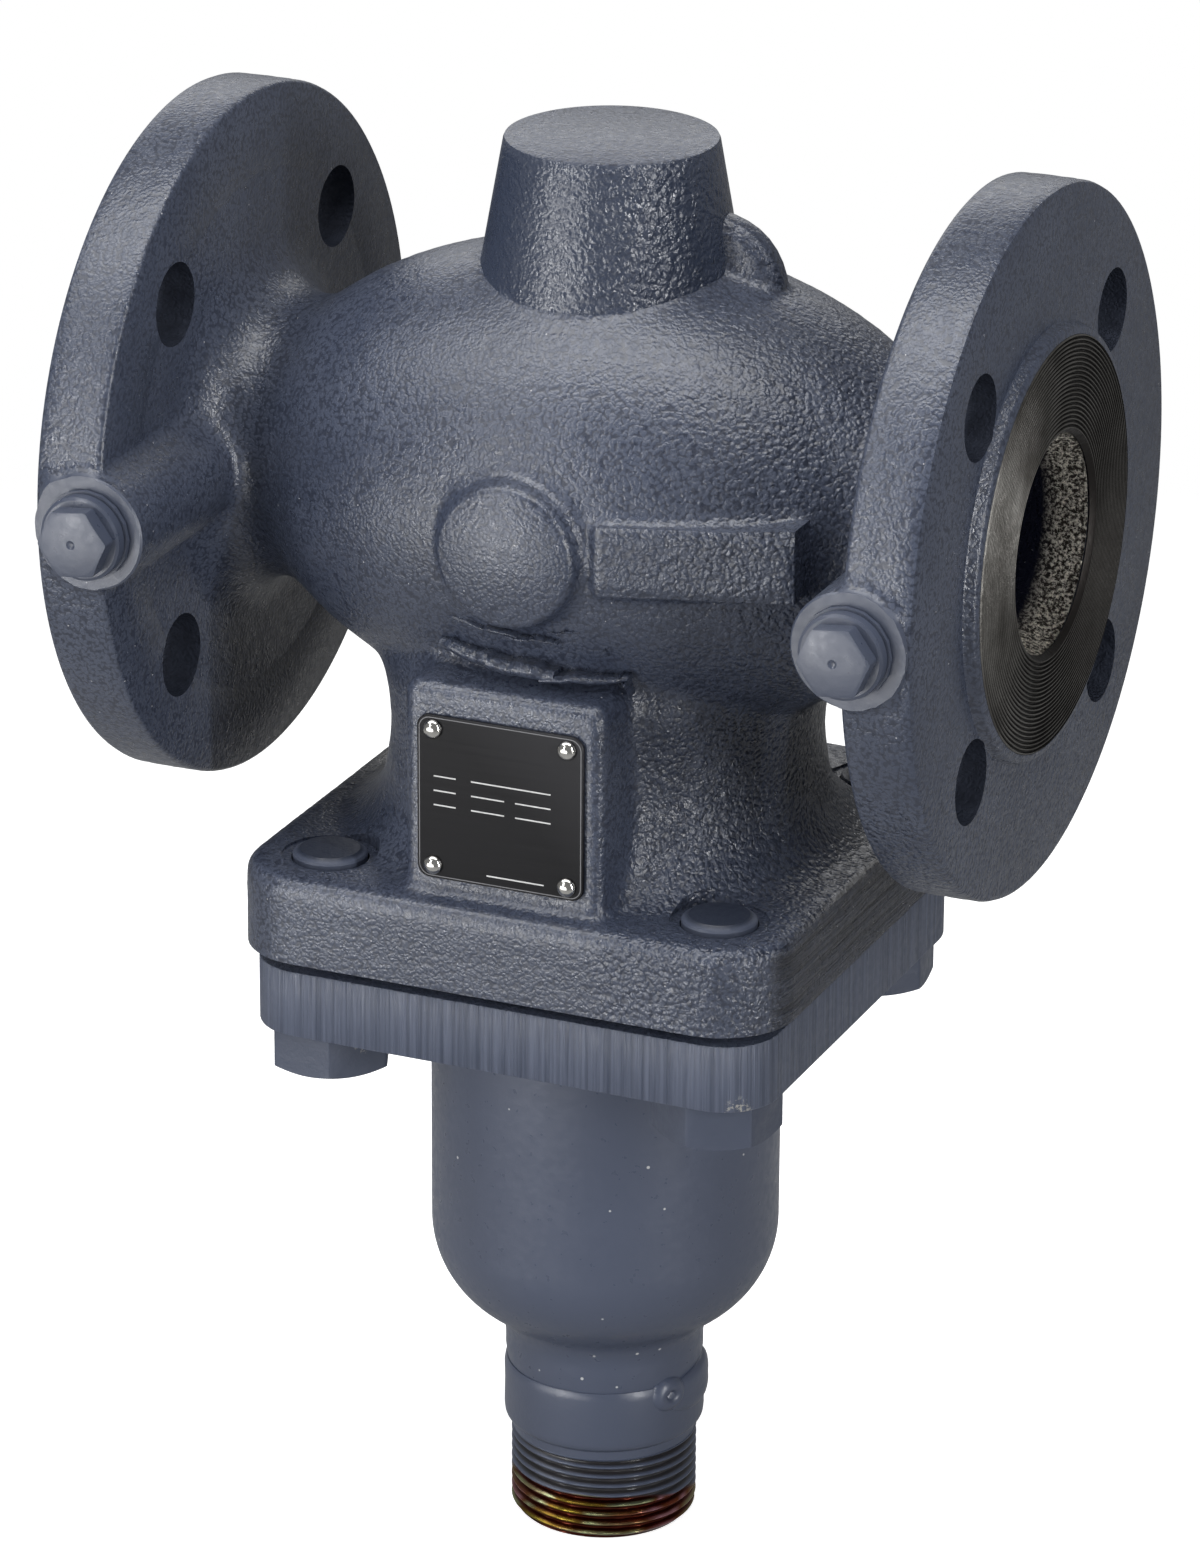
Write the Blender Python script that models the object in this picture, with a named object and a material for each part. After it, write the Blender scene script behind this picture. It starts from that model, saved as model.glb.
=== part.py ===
"""Flanged globe valve with a bellows cup under its body, built piece by piece.

The pipe axis runs along X, from the inlet at -X to the outlet at +X. The stem runs along Z.
The origin is the point where the two axes cross. The nameplate faces -Y. Lengths are metres.
The stem is pushed up to close the valve, and the model shows it open.
"""

import math

import bmesh
import bpy
from mathutils import Matrix, Vector

# Port flanges
FACE_TO_FACE = 0.200
FLANGE_R = 0.075
FLANGE_T = 0.018
RAISED_FACE_R = 0.044
RAISED_FACE_H = 0.003
RAISED_FACE_SLOPE = 0.0035
RIM_ROUND = 0.0015
FLANGE_BOLT_CIRCLE_R = 0.055
FLANGE_HOLE_R = 0.009
FLANGE_HOLES = 4
PORT_R = 0.020
PORT_MOUTH_R = 0.02375
PORT_MOUTH_DEPTH = 0.012

# Body casting
BARREL_R = 0.052
BARREL_HALF_LENGTH = 0.0813
NECK_WALL = 0.0129
CAST_WALL = 0.008
BOSS_H = 0.0234
BOSS_TOP_R = 0.0225
BOSS_FOOT_R = 0.0275
BOSS_EDGE_ROUND = 0.0012
BOSS_DRAFT = 0.15
BOSS_FOOT_DROP = 0.0052
BOSS_SPREAD = 0.0025
BOSS_SPREAD_H = 0.0045
FORM_ROOT_DEPTH = 0.028
SKIRT_R = 0.046
SKIRT_TOP_LESS = 0.004
SKIRT_BELLY = 0.0035
SKIRT_WAIST = 0.0005
SKIRT_TOP_PART = 0.35
SKIRT_BELLY_PART = 0.68
SKIRT_WAIST_PART = 0.88
SKIRT_FILLET = 0.012
ROUND_PAD_R = 0.0155
FRONT_PAD_STANDS = 0.0092
PAD_EDGE = 0.0022
PAD_ROOT = 0.016
TABLET_LEFT = (0.0195, -0.0520)
TABLET_RIGHT = (0.0595, -0.0432)
TABLET_Z = (-0.0063, 0.0088)
TABLET_RISE = 0.0012
LUG_X = 0.0345
LUG_H = 0.0055
LUG_T = 0.011
LUG_SHOULDER = 0.004
LUG_CROWN = 0.0005
LUG_SPREAD = 0.004
LUG_FALL = 0.013

# Square flange, gasket joint and plate
SQUARE_TOP_Z = -0.076
SQUARE_T = 0.019
SQUARE_HALF = 0.0620
SQUARE_CORNER = 0.0160
SQUARE_EDGE = 0.0030
SQUARE_LOW_EDGE = 0.0008
SQUARE_DRAFT = 0.0004
JOINT_GAP = 0.003
PLATE_T = 0.015
PLATE_HALF = 0.0592
PLATE_CORNER = 0.0125
PLATE_EDGE = 0.0006
SPIGOT_H = 0.006
SPIGOT_WALL = 0.0025
GASKET_W = 0.0105
COVER_BOLT_OFFSET = 0.0446

# Hexagon cover bolts
BOLT_R = 0.008
BOLT_HEAD_H = 0.010
BOLT_HEAD_FLATS = 0.024
BOLT_TIP_STANDS = 0.0014
BOLT_CHAMFER = 0.0010
BOLT_HOLE_PLAY = 0.0008
BOLT_SPOT_W = 0.002
BOLT_HEAD_CHAMFER = 0.0009
HEX_CHAMFER_RISE = 0.6
BOLT_TURNS = (23.0, 54.0, 8.0, 41.0)

# Inner chambers and seat
WEB_BOTTOM_Z = 0.000
WEB_T = 0.010
CHAMBER_R = 0.034
MOUTH_R = 0.038
MOUTH_STEP_Z = -0.050
PASSAGE_H = 0.014
PASSAGE_W = 0.0262
SEAT_THREAD_R = 0.0247
SEAT_LIP_R = 0.028
SEAT_LIP_H = 0.005
SEAT_CHAMFER = 0.0015
SEAT_TOP_STANDS = 0.001
PASSAGE_START_PART = 0.06
PASSAGE_MID_PART = 0.55
PASSAGE_NEAR_PART = 0.85
PASSAGE_END_PART = 0.30

# Stem, cone and guides
STROKE = 0.010
SEAT_PLAY = 0.0004
STEM_TOP_R = 0.005
STEM_MID_R = 0.006
STEM_LOW_R = 0.007
STEM_IN_GUIDE = 0.0110
STEM_END_RECESS = 0.002
STEM_CHAMFER = 0.0008
CONE_R = 0.023
CONE_SKIRT_H = 0.004
CONE_HUB_R = 0.012
CONE_HUB_H = 0.007
CONE_BACK_SLOPE = 0.55
CONE_NOSE_R = 0.013
CONE_NUT_FLATS = 0.016
CONE_NUT_H = 0.008
GUIDE_BUSH_WALL = 0.0035
GUIDE_BUSH_L = 0.018
GUIDE_END_ROOM = 0.002

# Bellows
BELLOWS_R = 0.028
BELLOWS_ROOT_R = 0.0215
BELLOWS_CUFF_R = 0.0240
BELLOWS_CUFF_L = 0.004
BELLOWS_WALL = 0.0006
BELLOWS_WAVES = 8
BELLOWS_ROOT_PART = 0.08
BELLOWS_CREST_PART = 0.36
BELLOWS_SLANT_PART = 0.45
BASE_RING_PLAY = 0.0006
RING_T = 0.005
TOP_RING_DROP = 0.009
BELLOWS_NUT_FLATS = 0.019
BELLOWS_NUT_H = 0.008

# Drawn cup and its threaded neck
CUP_R = 0.03805
CUP_WALL = 0.0029
CUP_SEAT = 0.006
CUP_STRAIGHT = 0.0563
DOME_R = 0.024
DOME_TURN = math.radians(55.0)
CUP_NECK_R = 0.0215
CUP_NECK_FILLET = 0.006
CUP_NECK_L = 0.0105
COLLAR_R = 0.0220
COLLAR_L = 0.0110
COLLAR_TAPER = 0.0025
THREAD_R = 0.0208
THREAD_L = 0.0195
THREAD_CHAMFER = 0.0016
NECK_INSIDE_L = 0.0255
NECK_LIP_H = 0.0035
NECK_LIP_PLAY = 0.0012

# Stem sealing in the neck
NECK_BORE_R = 0.0103
NECK_BUSH_L = 0.0175
SEAL_H = 0.003
SEAL_ROUND = 0.0009
SPACER_H = 0.003
GLAND_R = 0.013
GLAND_H = 0.0115
GLAND_RECESS = 0.003
GLAND_SLOT_W = 0.003
GLAND_SLOT_DEPTH = 0.003
GLAND_SLOT_EDGE = 0.0002

# Pressure tap bosses and plugs
TAP_FROM_FACE = 0.016
TAP_FACE_Y = -0.076
TAP_BOSS_R = 0.0125
TAP_BOSS_EDGE = 0.0005
TAP_BOSS_END_L = 0.0063
TAP_BOSS_END_LESS = 0.0038
TAP_HOLE_DEPTH = 0.013
TAP_DRILL_R = 0.003
PLUG_THREAD_R = 0.0063
PLUG_THREAD_L = 0.010
PLUG_POINT = 0.001
PLUG_EDGE = 0.0004
PLUG_COLLAR_R = 0.0091
PLUG_COLLAR_H = 0.0024
PLUG_HEX_FLATS = 0.013
PLUG_HEX_H = 0.0040
PLUG_HEX_CHAMFER = 0.0006
PLUG_TURN = 24.0
TAP_SEAL_H = 0.001
TAP_SEAL_R = 0.0097

# Nameplate
NAMEPLATE_EDGE_X = 0.00365
NAMEPLATE_EDGE_Z = 0.00295
NAMEPLATE_T = 0.0008
NAMEPLATE_Z = -0.0541
NAMEPLATE_CORNER = 0.0025
NAME_PAD_EDGE_X = 0.0037
NAME_PAD_EDGE_Z = 0.0065
RIVET_PITCH = 0.0303
RIVET_HEAD_R = 0.0021
RIVET_HEAD_H = 0.0013
RIVET_SHANK_R = 0.0010
RIVET_SHANK_L = 0.0045

# Clearances
SEAT_GAP = 0.0003
RUN_GAP = 0.0002
PAST = 0.002
MERGE = 0.000001

# Roundness: steps in a full turn, and points on an edge
STEPS_BODY = 30
STEPS_CUP = 28
STEPS_RING = 22
STEPS_BELLOWS = 14
STEPS_OVAL = 20
STEPS_SMALL = 16
STEPS_PIN = 10
BARREL_STATIONS = 6
FILLET_POINTS = 3
ROUND_POINTS = 2
DOME_POINTS = 4
CORNER_POINTS = 3
RIVET_POINTS = 2
GUIDE_TURN = math.pi / STEPS_RING
SHARP_ANGLE = math.radians(32)

# Finishes: colour, roughness, metalness
PAINT = ((0.085, 0.095, 0.122), 0.40, 0.0)
STEEL = ((0.56, 0.57, 0.58), 0.30, 1.0)
BRONZE = ((0.42, 0.27, 0.10), 0.40, 1.0)
GRAPHITE = ((0.012, 0.012, 0.013), 0.80, 0.0)
SEAL_BLACK = ((0.010, 0.010, 0.010), 0.60, 0.0)
SEAL_GREY = ((0.050, 0.055, 0.065), 0.50, 0.0)
ANODISED = ((0.012, 0.012, 0.014), 0.35, 0.5)

# Levels worked out from the sizes above
FACE_X = FACE_TO_FACE / 2
SQUARE_BOTTOM_Z = SQUARE_TOP_Z - SQUARE_T
PLATE_TOP_Z = SQUARE_BOTTOM_Z - JOINT_GAP
PLATE_BOTTOM_Z = PLATE_TOP_Z - PLATE_T
WEB_TOP_Z = WEB_BOTTOM_Z + WEB_T
CUP_DOME_Z = PLATE_BOTTOM_Z - CUP_STRAIGHT
GUIDE_BORE_R = STEM_TOP_R + RUN_GAP + GUIDE_BUSH_WALL + SEAT_GAP
GUIDE_LOW_Z = BARREL_R - CAST_WALL
STEM_TOP_Z = GUIDE_LOW_Z + STEM_IN_GUIDE
GUIDE_BORE_END_Z = GUIDE_LOW_Z + max(GUIDE_BUSH_L, STEM_IN_GUIDE + STROKE) + GUIDE_END_ROOM
NECK_R = PORT_R + NECK_WALL
NECK_START = BARREL_HALF_LENGTH * math.sqrt(1 - (NECK_R / BARREL_R) ** 2)
BOSS_TOP_Z = BARREL_R + BOSS_H
LUG_TOP_Z = BARREL_R + LUG_H
FORM_ROOT_Z = BARREL_R - FORM_ROOT_DEPTH
SEAT_Z = WEB_BOTTOM_Z - SEAT_GAP - SEAT_LIP_H
CONE_EDGE_DROP = CONE_R - PORT_R - SEAT_CHAMFER
FRONT_PAD_Y = -SKIRT_R - FRONT_PAD_STANDS
TAP_X = FACE_X - TAP_FROM_FACE
NAMEPLATE_W = RIVET_PITCH + 2 * NAMEPLATE_EDGE_X
NAMEPLATE_H = RIVET_PITCH + 2 * NAMEPLATE_EDGE_Z
NAME_PAD_W = NAMEPLATE_W + 2 * NAME_PAD_EDGE_X
NAME_PAD_TOP_Z = NAMEPLATE_Z + NAMEPLATE_H / 2 + NAME_PAD_EDGE_Z
HALF_ROUND = 1 - math.cos(math.pi / 4)
AXES = {"X": (Vector((1, 0, 0)), Vector((0, 0, 1))),
        "Y": (Vector((0, 1, 0)), Vector((1, 0, 0))),
        "Z": (Vector((0, 0, 1)), Vector((1, 0, 0)))}


def clear_scene():
    for found in list(bpy.data.objects):
        bpy.data.objects.remove(found, do_unlink=True)


def finish_material(name, finish):
    colour, roughness, metalness = finish
    material = bpy.data.materials.new(name)
    material.use_nodes = True
    shader = material.node_tree.nodes["Principled BSDF"]
    shader.inputs["Base Color"].default_value = (*colour, 1.0)
    shader.inputs["Roughness"].default_value = roughness
    shader.inputs["Metallic"].default_value = metalness
    return material


def piece(name, bm, finish):
    """Turn a bmesh into a named object with a material of its own."""
    bmesh.ops.recalc_face_normals(bm, faces=bm.faces)
    mesh = bpy.data.meshes.new(name)
    bm.to_mesh(mesh)
    bm.free()
    mesh.shade_smooth()
    mesh.set_sharp_from_angle(angle=SHARP_ANGLE)
    mesh.materials.append(finish_material(name + "_finish", finish))
    made = bpy.data.objects.new(name, mesh)
    bpy.context.scene.collection.objects.link(made)
    return made


def helper(name, bm):
    """Make a solid that only shapes another piece."""
    made = piece(name, bm, PAINT)
    made.hide_render = True
    made.display_type = "WIRE"
    return made


def shape_with(target, tool, operation):
    step = target.modifiers.new(operation.lower() + "_" + tool.name, "BOOLEAN")
    step.operation = operation
    step.object = tool
    step.solver = "EXACT"


def arc(centre, radius, start, end, count):
    """Points on an arc, from the angle start to the angle end in radians."""
    angles = [start + (end - start) * i / count for i in range(count + 1)]
    return [(centre[0] + radius * math.cos(a), centre[1] + radius * math.sin(a)) for a in angles]


def turned(profile, axis="Z", steps=STEPS_RING, turn=0.0):
    """Spin (radius, station) points about an axis. A profile that starts and ends on the
    axis makes a solid, and its flat ends are single faces."""
    along, out = AXES[axis]
    solid = profile[0][0] == 0 and profile[-1][0] == 0
    if solid and profile[0][1] == profile[1][1]:
        profile = profile[1:]
    if solid and profile[-1][1] == profile[-2][1]:
        profile = profile[:-1]
    bm = bmesh.new()
    verts = [bm.verts.new(out * r + along * s) for r, s in profile]
    edges = [bm.edges.new(pair) for pair in zip(verts, verts[1:])]
    if not solid:
        edges.append(bm.edges.new((verts[-1], verts[0])))
    bmesh.ops.spin(bm, geom=verts + edges, cent=(0, 0, 0), axis=along, dvec=(0, 0, 0),
                   angle=math.tau, steps=steps, use_merge=True, use_duplicate=False)
    bmesh.ops.remove_doubles(bm, verts=bm.verts, dist=MERGE)
    bmesh.ops.holes_fill(bm, edges=[e for e in bm.edges if e.is_boundary], sides=0)
    if turn:
        bmesh.ops.rotate(bm, verts=bm.verts, matrix=Matrix.Rotation(turn, 3, axis))
    return bm


def tube(inner, outer, low, high, axis="Z", steps=STEPS_RING, turn=0.0):
    profile = [(inner, low), (outer, low), (outer, high), (inner, high)]
    return turned(profile, axis, steps, turn)


def rod(radius, low, high, axis="Z", steps=STEPS_SMALL, turn=0.0):
    return turned([(0, low), (radius, low), (radius, high), (0, high)], axis, steps, turn)


def move(bm, offset):
    bmesh.ops.translate(bm, verts=bm.verts, vec=offset)
    return bm


def loft(rings):
    """Skin a list of closed rings that hold as many points each, and cap both ends."""
    bm = bmesh.new()
    rows = [[bm.verts.new(point) for point in ring] for ring in rings]
    count = len(rows[0])
    for row, following in zip(rows, rows[1:]):
        for i in range(count):
            j = (i + 1) % count
            bm.faces.new((row[i], row[j], following[j], following[i]))
    bm.faces.new(rows[0][::-1])
    bm.faces.new(rows[-1])
    return bm


def rounded_square(half, corner, z):
    """A ring of points round a square with rounded corners, at one level."""
    ring = []
    for quarter in range(4):
        turn = quarter * math.pi / 2
        centre = Vector((half - corner, half - corner, 0))
        centre.rotate(Matrix.Rotation(turn, 3, "Z"))
        ring += [(x, y, z) for x, y in arc(centre[:2], corner, turn,
                                                turn + math.pi / 2, CORNER_POINTS)]
    return ring


def rounded_prism(levels, corner):
    """Stack rounded squares, given as (z, half width), into a prism with rounded edges."""
    widest = max(half for _, half in levels)
    return loft([rounded_square(half, corner - (widest - half), z) for z, half in levels])


def hexagon(flats, low, high, chamfer=0.0):
    """A hexagon bar along Z, whose low end is chamfered."""
    corner_r = flats / math.sqrt(3)
    levels = [(low, corner_r - chamfer), (low + chamfer * HEX_CHAMFER_RISE, corner_r), (high, corner_r)]
    if chamfer == 0:
        levels = levels[1:]
    rings = []
    for z, radius in levels:
        turns = [math.tau * i / 6 for i in range(6)]
        rings.append([(radius * math.cos(a), radius * math.sin(a), z) for a in turns])
    return loft(rings)


def barrel_radius(x):
    return BARREL_R * math.sqrt(1 - (x / BARREL_HALF_LENGTH) ** 2)


def barrel_profile():
    """Half of the casting's outline along the pipe: barrel, neck fillet and port flange."""
    back_x = FACE_X - FLANGE_T
    rim_x = FACE_X - RAISED_FACE_H
    stations = [NECK_START * i / BARREL_STATIONS for i in range(BARREL_STATIONS + 1)]
    outline = [(barrel_radius(x), x) for x in stations]
    start_r = barrel_radius(NECK_START)
    slope = BARREL_R ** 2 * NECK_START / (BARREL_HALF_LENGTH ** 2 * start_r)
    tilt = math.atan(slope)
    fillet = (back_x - NECK_START) / (1 + math.sin(tilt))
    centre = (start_r + fillet * math.cos(tilt), NECK_START + fillet * math.sin(tilt))
    outline += arc(centre, fillet, math.pi + tilt, math.pi / 2, FILLET_POINTS)[1:]
    outline += arc((FLANGE_R - RIM_ROUND, back_x + RIM_ROUND), RIM_ROUND, -math.pi / 2, 0,
                   ROUND_POINTS)
    outline += arc((FLANGE_R - RIM_ROUND, rim_x - RIM_ROUND), RIM_ROUND, 0, math.pi / 2,
                   ROUND_POINTS)
    outline += [(RAISED_FACE_R + RAISED_FACE_SLOPE, rim_x), (RAISED_FACE_R, FACE_X), (0, FACE_X)]
    return outline


def body_shell():
    """Both halves of the barrel, spun about the pipe axis."""
    half = barrel_profile()
    mirrored = [(r, -x) for r, x in reversed(half[1:])]
    return turned(mirrored + half, "X", STEPS_BODY)


def boss_form():
    """The blind boss on top, slightly tapered, with a rounded top edge."""
    edge = arc((BOSS_TOP_R - BOSS_EDGE_ROUND, BOSS_TOP_Z - BOSS_EDGE_ROUND), BOSS_EDGE_ROUND,
               math.pi / 2, BOSS_DRAFT, ROUND_POINTS)
    foot_z = BARREL_R - BOSS_FOOT_DROP
    spread_r = BOSS_FOOT_R + BOSS_SPREAD
    return turned([(0, BOSS_TOP_Z)] + edge
                  + [(BOSS_FOOT_R, foot_z), (spread_r, foot_z - BOSS_SPREAD_H),
                     (spread_r, FORM_ROOT_Z), (0, FORM_ROOT_Z)], "Z", STEPS_CUP)


def skirt_form():
    """The round skirt that flares out to the square flange."""
    top_z = -BARREL_R * SKIRT_TOP_PART
    flare = arc((SKIRT_R + SKIRT_FILLET, SQUARE_TOP_Z + SKIRT_FILLET), SKIRT_FILLET,
                math.pi, math.pi * 3 / 2, FILLET_POINTS)
    low_z = SQUARE_TOP_Z - SQUARE_EDGE
    shoulder = [(0, top_z), (SKIRT_R - SKIRT_TOP_LESS, top_z),
                (SKIRT_R + SKIRT_BELLY, -BARREL_R * SKIRT_BELLY_PART),
                (SKIRT_R + SKIRT_WAIST, -BARREL_R * SKIRT_WAIST_PART)]
    return turned(shoulder + flare + [(SKIRT_R + SKIRT_FILLET, low_z), (0, low_z)], "Z", STEPS_BODY)


def square_form():
    round_in = SQUARE_EDGE * HALF_ROUND
    return rounded_prism([(SQUARE_BOTTOM_Z, SQUARE_HALF - SQUARE_LOW_EDGE),
                          (SQUARE_BOTTOM_Z + SQUARE_LOW_EDGE, SQUARE_HALF),
                          (SQUARE_TOP_Z - SQUARE_EDGE, SQUARE_HALF - SQUARE_DRAFT),
                          (SQUARE_TOP_Z - round_in, SQUARE_HALF - SQUARE_DRAFT - round_in),
                          (SQUARE_TOP_Z, SQUARE_HALF - SQUARE_DRAFT - SQUARE_EDGE)], SQUARE_CORNER)


def raised_block(x_range, front_y, z_range, depth, edge):
    """A block on the casting's front with rounded front edges."""
    bm = bmesh.new()
    bmesh.ops.create_cube(bm, size=1.0)
    size = Vector((x_range[1] - x_range[0], depth, z_range[1] - z_range[0]))
    middle = Vector((sum(x_range) / 2, front_y + depth / 2, sum(z_range) / 2))
    bmesh.ops.scale(bm, vec=size, verts=bm.verts)
    move(bm, middle)
    front = [e for e in bm.edges if all(v.co.y < middle.y for v in e.verts)]
    bmesh.ops.bevel(bm, geom=front, offset=edge, segments=ROUND_POINTS, profile=1 / 2,
                    affect="EDGES")
    return bm


def tablet_form():
    """The raised tablet beside the round pad. It slants back as the barrel narrows."""
    rings = []
    for (x, y), rise in ((TABLET_LEFT, 0), (TABLET_RIGHT, TABLET_RISE)):
        low, high = TABLET_Z[0] + rise, TABLET_Z[1] + rise
        back = y + PAD_ROOT
        rings.append([(x, y, low), (x, y, high), (x, back, high), (x, back, low)])
    return loft(rings)


def lug_form():
    """The small cast lug on the barrel beside the boss, with a rounded end."""
    outline = [(BOSS_TOP_R, LUG_TOP_Z), (LUG_X - LUG_SHOULDER, LUG_TOP_Z - LUG_CROWN),
               (LUG_X, LUG_TOP_Z - LUG_SHOULDER), (LUG_X + LUG_SPREAD, LUG_TOP_Z - LUG_FALL),
               (LUG_X + LUG_SPREAD, FORM_ROOT_Z), (0, FORM_ROOT_Z), (0, LUG_TOP_Z)]
    return loft([[(x, y, z) for x, z in outline] for y in (-LUG_T / 2, LUG_T / 2)])


def tap_boss_form(side):
    """A drilled boss on a port flange, round at its face and domed where it meets the neck."""
    end_y = -PORT_R - CAST_WALL
    bm = turned([(0, TAP_FACE_Y), (TAP_BOSS_R - TAP_BOSS_EDGE, TAP_FACE_Y),
                 (TAP_BOSS_R, TAP_FACE_Y + TAP_BOSS_EDGE), (TAP_BOSS_R, end_y - TAP_BOSS_END_L),
                 (TAP_BOSS_R - TAP_BOSS_END_LESS, end_y), (0, end_y)], "Y")
    return move(bm, Vector((side * TAP_X, 0, 0)))


def oval_ring(x, centre_z, half_width, half_height, count=STEPS_OVAL):
    turns = [math.tau * i / count for i in range(count)]
    return [(x, half_width * math.cos(a), centre_z + half_height * math.sin(a)) for a in turns]


def passage_form(side, inner_z):
    """The way from a port to its chamber, which it enters above or below the web."""
    bend_x = NECK_START
    rings = [oval_ring(side * (FACE_X + PAST), 0, PORT_MOUTH_R, PORT_MOUTH_R),
             oval_ring(side * FACE_X, 0, PORT_MOUTH_R, PORT_MOUTH_R),
             oval_ring(side * (FACE_X - PORT_MOUTH_DEPTH), 0, PORT_R, PORT_R),
             oval_ring(side * bend_x, inner_z * PASSAGE_START_PART, PORT_R, PORT_R),
             oval_ring(side * (bend_x + CHAMBER_R) / 2, inner_z * PASSAGE_MID_PART,
                       (PORT_R + PASSAGE_W) / 2, (PORT_R + PASSAGE_H) / 2),
             oval_ring(side * CHAMBER_R * PASSAGE_NEAR_PART, inner_z, PASSAGE_W, PASSAGE_H),
             oval_ring(side * CHAMBER_R * PASSAGE_END_PART, inner_z, PASSAGE_W, PASSAGE_H)]
    return loft(rings)


def upper_chamber_form():
    height = GUIDE_LOW_Z - WEB_TOP_Z
    angles = [math.pi / 2 * i / DOME_POINTS for i in range(DOME_POINTS)]
    dome = [(CHAMBER_R * math.cos(a), WEB_TOP_Z + height * math.sin(a)) for a in angles]
    return turned([(0, WEB_TOP_Z)] + dome + [(0, WEB_TOP_Z + height)])


def lower_chamber_form():
    step = MOUTH_R - CHAMBER_R
    return turned([(0, WEB_BOTTOM_Z), (CHAMBER_R, WEB_BOTTOM_Z), (CHAMBER_R, MOUTH_STEP_Z),
                   (MOUTH_R, MOUTH_STEP_Z - step), (MOUTH_R, SQUARE_BOTTOM_Z - PAST),
                   (0, SQUARE_BOTTOM_Z - PAST)])


def corner_spots(offset):
    """The four places of a square pattern, front left first, then round to the right."""
    return [(-offset, -offset), (offset, -offset), (offset, offset), (-offset, offset)]


def flange_hole_spots():
    turns = [math.tau * (i + 0.5) / FLANGE_HOLES for i in range(FLANGE_HOLES)]
    return [(FLANGE_BOLT_CIRCLE_R * math.cos(a), FLANGE_BOLT_CIRCLE_R * math.sin(a)) for a in turns]


def rivet_spots():
    return [(x, NAMEPLATE_Z + z) for x, z in corner_spots(RIVET_PITCH / 2)]


def body_cutters():
    """Everything drilled, bored or cored out of the casting, as name and shape."""
    yield "upper_chamber", upper_chamber_form()
    yield "lower_chamber", lower_chamber_form()
    yield "inlet_passage", passage_form(-1, WEB_BOTTOM_Z - PASSAGE_H)
    yield "outlet_passage", passage_form(1, WEB_TOP_Z + PASSAGE_H)
    yield "seat_thread", rod(SEAT_THREAD_R + SEAT_GAP, WEB_BOTTOM_Z - PAST, WEB_TOP_Z + PAST,
                             steps=STEPS_RING)
    yield "guide_bore", rod(GUIDE_BORE_R, GUIDE_LOW_Z - CAST_WALL, GUIDE_BORE_END_Z,
                            turn=GUIDE_TURN)
    for number, (x, y) in enumerate(corner_spots(COVER_BOLT_OFFSET), 1):
        hole = turned([(0, SQUARE_BOTTOM_Z - PAST), (BOLT_R + SEAT_GAP, SQUARE_BOTTOM_Z - PAST),
                       (BOLT_R + SEAT_GAP, SQUARE_TOP_Z), (BOLT_R + BOLT_SPOT_W, SQUARE_TOP_Z),
                       (BOLT_R + BOLT_SPOT_W, SQUARE_TOP_Z + SKIRT_FILLET),
                       (0, SQUARE_TOP_Z + SKIRT_FILLET)], "Z", STEPS_SMALL)
        yield f"cover_hole_{number}", move(hole, Vector((x, y, 0)))
    for side in (-1, 1):
        low = min(side * (FACE_X + PAST), side * (FACE_X - FLANGE_T - CAST_WALL))
        high = max(side * (FACE_X + PAST), side * (FACE_X - FLANGE_T - CAST_WALL))
        for number, (y, z) in enumerate(flange_hole_spots(), 1):
            hole = rod(FLANGE_HOLE_R, low, high, "X")
            yield f"flange_hole_{side}_{number}", move(hole, Vector((0, y, z)))
        step_y = TAP_FACE_Y + TAP_HOLE_DEPTH
        hole_r = PLUG_THREAD_R + SEAT_GAP
        tap = turned([(0, TAP_FACE_Y - PAST), (hole_r, TAP_FACE_Y - PAST), (hole_r, step_y),
                      (TAP_DRILL_R, step_y + hole_r - TAP_DRILL_R), (TAP_DRILL_R, -PORT_R / 2),
                      (0, -PORT_R / 2)], "Y", STEPS_SMALL)
        yield f"tap_hole_{side}", move(tap, Vector((side * TAP_X, 0, 0)))
    for number, (x, z) in enumerate(rivet_spots(), 1):
        depth = FRONT_PAD_Y + RIVET_SHANK_L + PAST
        hole = rod(RIVET_SHANK_R + SEAT_GAP, FRONT_PAD_Y - PAST, depth, "Y", STEPS_PIN)
        yield f"rivet_hole_{number}", move(hole, Vector((x, 0, z)))


def make_body():
    body = piece("valve_body", body_shell(), PAINT)
    pad_x = (-NAME_PAD_W / 2, NAME_PAD_W / 2)
    pad_z = (SQUARE_TOP_Z - SQUARE_EDGE, NAME_PAD_TOP_Z)
    round_pad = turned([(0, FRONT_PAD_Y), (ROUND_PAD_R - PAD_EDGE, FRONT_PAD_Y),
                        (ROUND_PAD_R, FRONT_PAD_Y + PAD_EDGE),
                        (ROUND_PAD_R, FRONT_PAD_Y + PAD_ROOT), (0, FRONT_PAD_Y + PAD_ROOT)], "Y")
    forms = [("boss", boss_form()), ("skirt", skirt_form()), ("square_flange", square_form()),
             ("name_pad", raised_block(pad_x, FRONT_PAD_Y, pad_z, PAD_ROOT, PAD_EDGE)),
             ("round_pad", round_pad),
             ("tablet", tablet_form()),
             ("lug", lug_form())]
    forms += [(f"tap_boss_{side}", tap_boss_form(side)) for side in (-1, 1)]
    for name, form in forms:
        shape_with(body, helper("form_" + name, form), "UNION")
    for name, form in body_cutters():
        shape_with(body, helper("cut_" + name, form), "DIFFERENCE")


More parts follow.
